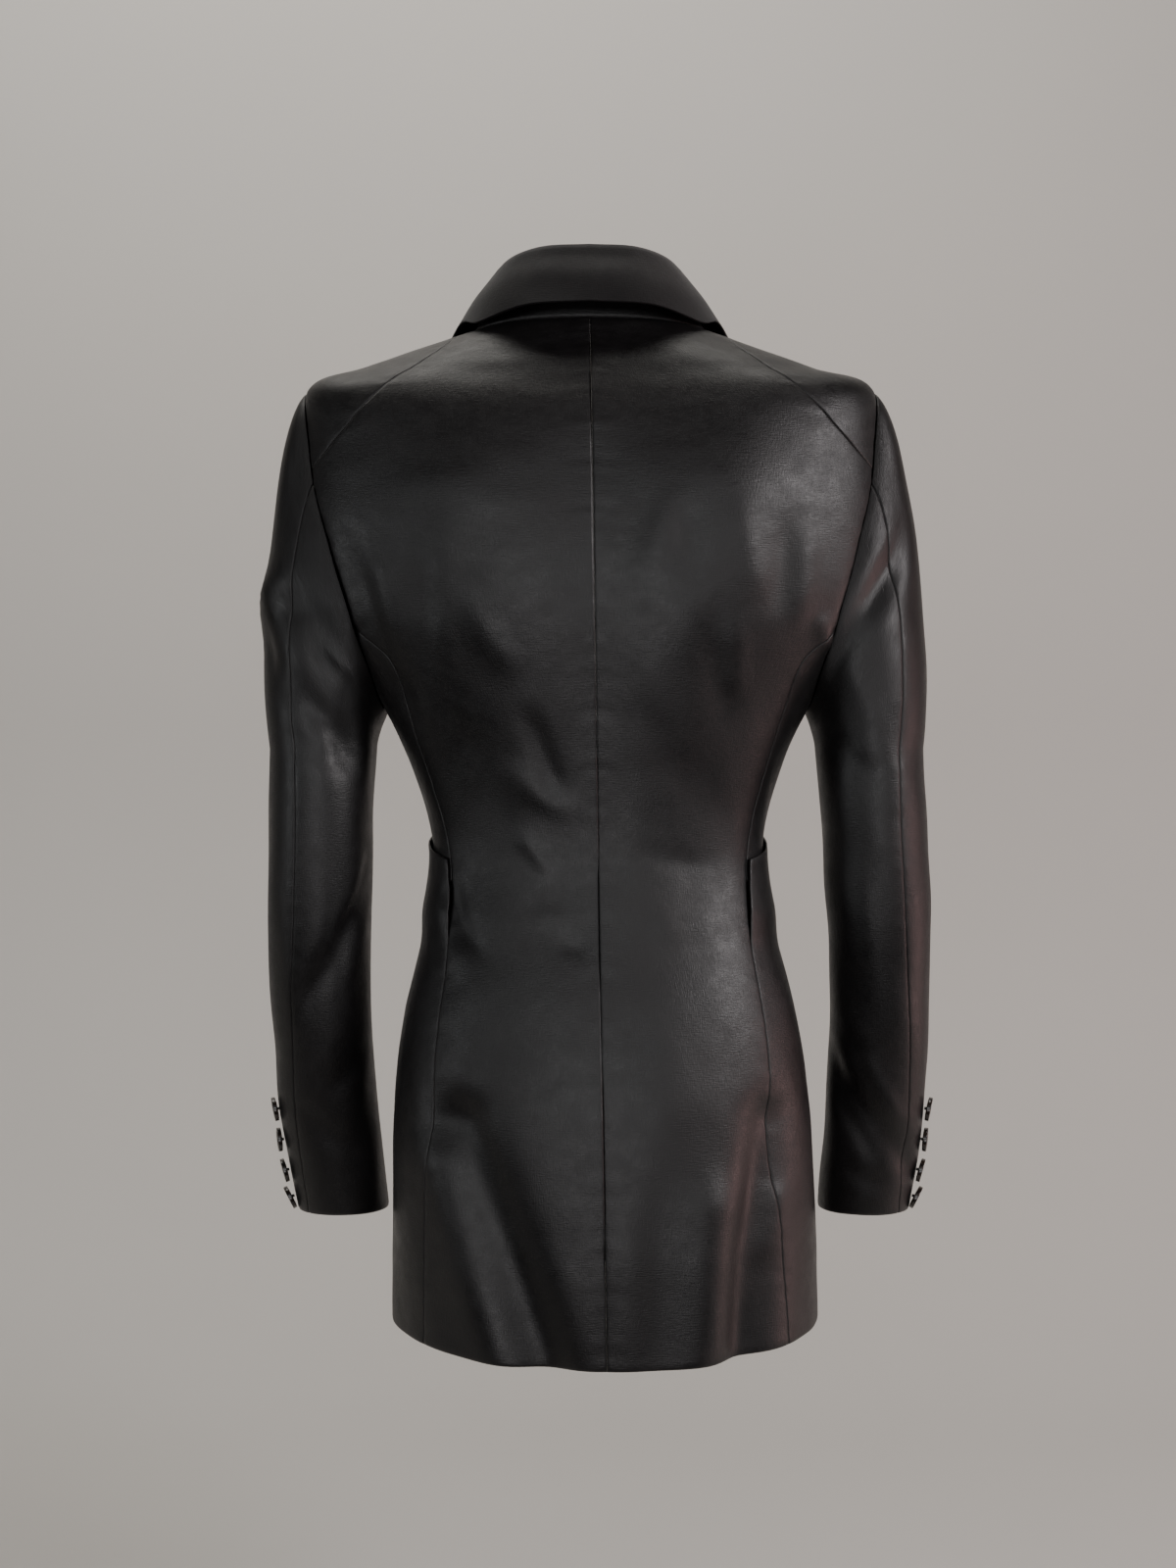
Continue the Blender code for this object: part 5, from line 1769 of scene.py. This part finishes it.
@dataclass
class Studio:
    """Pale sweep, soft lights and the camera."""

    floor_z: float = -1.02
    floor_depth: float = 1.9
    width: float = 8.0
    wall_height: float = 5.0
    bend: float = 0.8
    surround: Colour = (0.80, 0.84, 0.92)
    surround_strength: float = 0.015
    sensor_height: float = 36.0
    sensor_width: float = 27.0
    camera_place: tuple[float, float, float] = (0.0014, CAMERA_Y, CAMERA_Z)

    def build(self, paint: Material) -> None:
        """Makes the sweep, the lights and the camera.

        Args:
            paint: The finish of floor and backdrop.
        """
        self._sweep(paint)
        self._world()
        for lamp in LAMPS:
            lamp.build()
        self._camera()

    def _sweep(self, paint: Material) -> None:
        """The floor, bent up into a backdrop."""
        deselect_all()
        middle = WALL_Y + self.floor_depth / 2
        bpy.ops.mesh.primitive_plane_add(size=self.width, location=(0.0, middle, self.floor_z))
        floor = bpy.context.active_object
        floor.name = "sweep"
        floor.scale.y = self.floor_depth / self.width
        bpy.ops.object.transform_apply(location=True, rotation=True, scale=True)
        bpy.ops.object.mode_set(mode="EDIT")
        bpy.ops.mesh.select_mode(type="EDGE")
        bpy.ops.mesh.select_all(action="DESELECT")
        bpy.ops.object.mode_set(mode="OBJECT")
        for edge in floor.data.edges:
            ends = [floor.data.vertices[i].co.y for i in edge.vertices]
            edge.select = max(ends) < WALL_Y + 0.01
        bpy.ops.object.mode_set(mode="EDIT")
        bpy.ops.mesh.extrude_region_move(TRANSFORM_OT_translate={"value": (0.0, 0.0, self.wall_height)})
        bpy.ops.object.mode_set(mode="OBJECT")
        bend = floor.modifiers.new("Bend", "BEVEL")
        bend.width, bend.segments, bend.limit_method = self.bend, 16, "ANGLE"
        apply_modifier(floor, bend.name)
        floor.data.shade_smooth()
        floor.data.materials.append(paint)

    def _world(self) -> None:
        """A dim even surround."""
        world = bpy.data.worlds.new("Room")
        world.use_nodes = True
        shade = world.node_tree.nodes["Background"]
        set_inputs(shade, {"Color": (*self.surround, 1.0), "Strength": self.surround_strength})
        bpy.context.scene.world = world

    def _camera(self) -> None:
        """The camera behind the jacket, level, as far away as the picture's perspective says."""
        data = bpy.data.cameras.new("Camera")
        data.sensor_fit = "VERTICAL"
        data.sensor_height, data.sensor_width = self.sensor_height, self.sensor_width
        data.lens = PICTURE_FOCUS / PICTURE_ROWS * self.sensor_height
        data.shift_y = (CAMERA_ROW - PICTURE_ROWS / 2) / PICTURE_ROWS
        camera = add_to_scene("Camera", data)
        camera.location = self.camera_place
        camera.rotation_euler = (math.radians(90), 0.0, math.radians(180))
        bpy.context.scene.camera = camera


CUTS = {
    "back": Cut(0.235, 0.790, 0.107),
    "side": Cut(0.125, 0.175, 0.0187),
    "hip": Cut(0.165, 0.375, 0.0548),
    "front": Cut(0.250, 0.790, 0.108),
    "lapel": Cut(0.100, 0.290, 0.0166),
    "collar": Cut(0.420, 0.110, 0.037),
    "top_sleeve": Cut(0.205, 0.640, 0.086),
    "under_sleeve": Cut(0.135, 0.560, 0.0517),
}


@dataclass
class Blazer:
    """The whole jacket."""

    satin: SatinFinish = SatinFinish("satin cloth")
    reverse: SatinFinish = SatinFinish(
        "reverse of the cloth", roughness=0.62, specular=0.3, anisotropy=0.0, slub=0.6
    )
    collar_satin: SatinFinish = SatinFinish("collar cloth", roughness=0.46, specular=0.4)
    under_collar: SatinFinish = SatinFinish(
        "under collar cloth", colour=(0.010, 0.0095, 0.010), roughness=0.75, specular=0.25, anisotropy=0.0,
        sheen=0.2,
    )
    lapel_satin: SatinFinish = SatinFinish("lapel cloth", roughness=0.37)
    horn: HornFinish = HornFinish("dark horn button")
    thread: ThreadFinish = ThreadFinish("button thread")

    def build(self) -> None:
        """Builds every piece in order."""
        weave, bloom = weave_group(), bloom_group()
        satin, reverse = self.satin.make(weave, bloom), self.reverse.make(weave, bloom)
        body = BodyForm()
        jacket = JacketBody(body, CUTS)
        jacket.build((satin, reverse), (self.lapel_satin.make(weave, bloom), reverse))
        collar_cloths = (self.collar_satin.make(weave, bloom), self.under_collar.make(weave, bloom))
        Collar(body, CUTS["collar"]).build(collar_cloths)
        sleeve = SleeveForm(body)
        for side in Side:
            Sleeve(sleeve, side, CUTS).build((satin, reverse))
        Buttons(body, sleeve, jacket).build(self.horn.make(), self.thread.make())


def main() -> None:
    """Loads the frame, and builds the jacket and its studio."""
    logging.basicConfig(level=logging.INFO, format="%(name)s %(message)s")
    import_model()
    Blazer().build()
    Studio().build(StageFinish("pale paint").make())


if __name__ == "__main__":
    main()
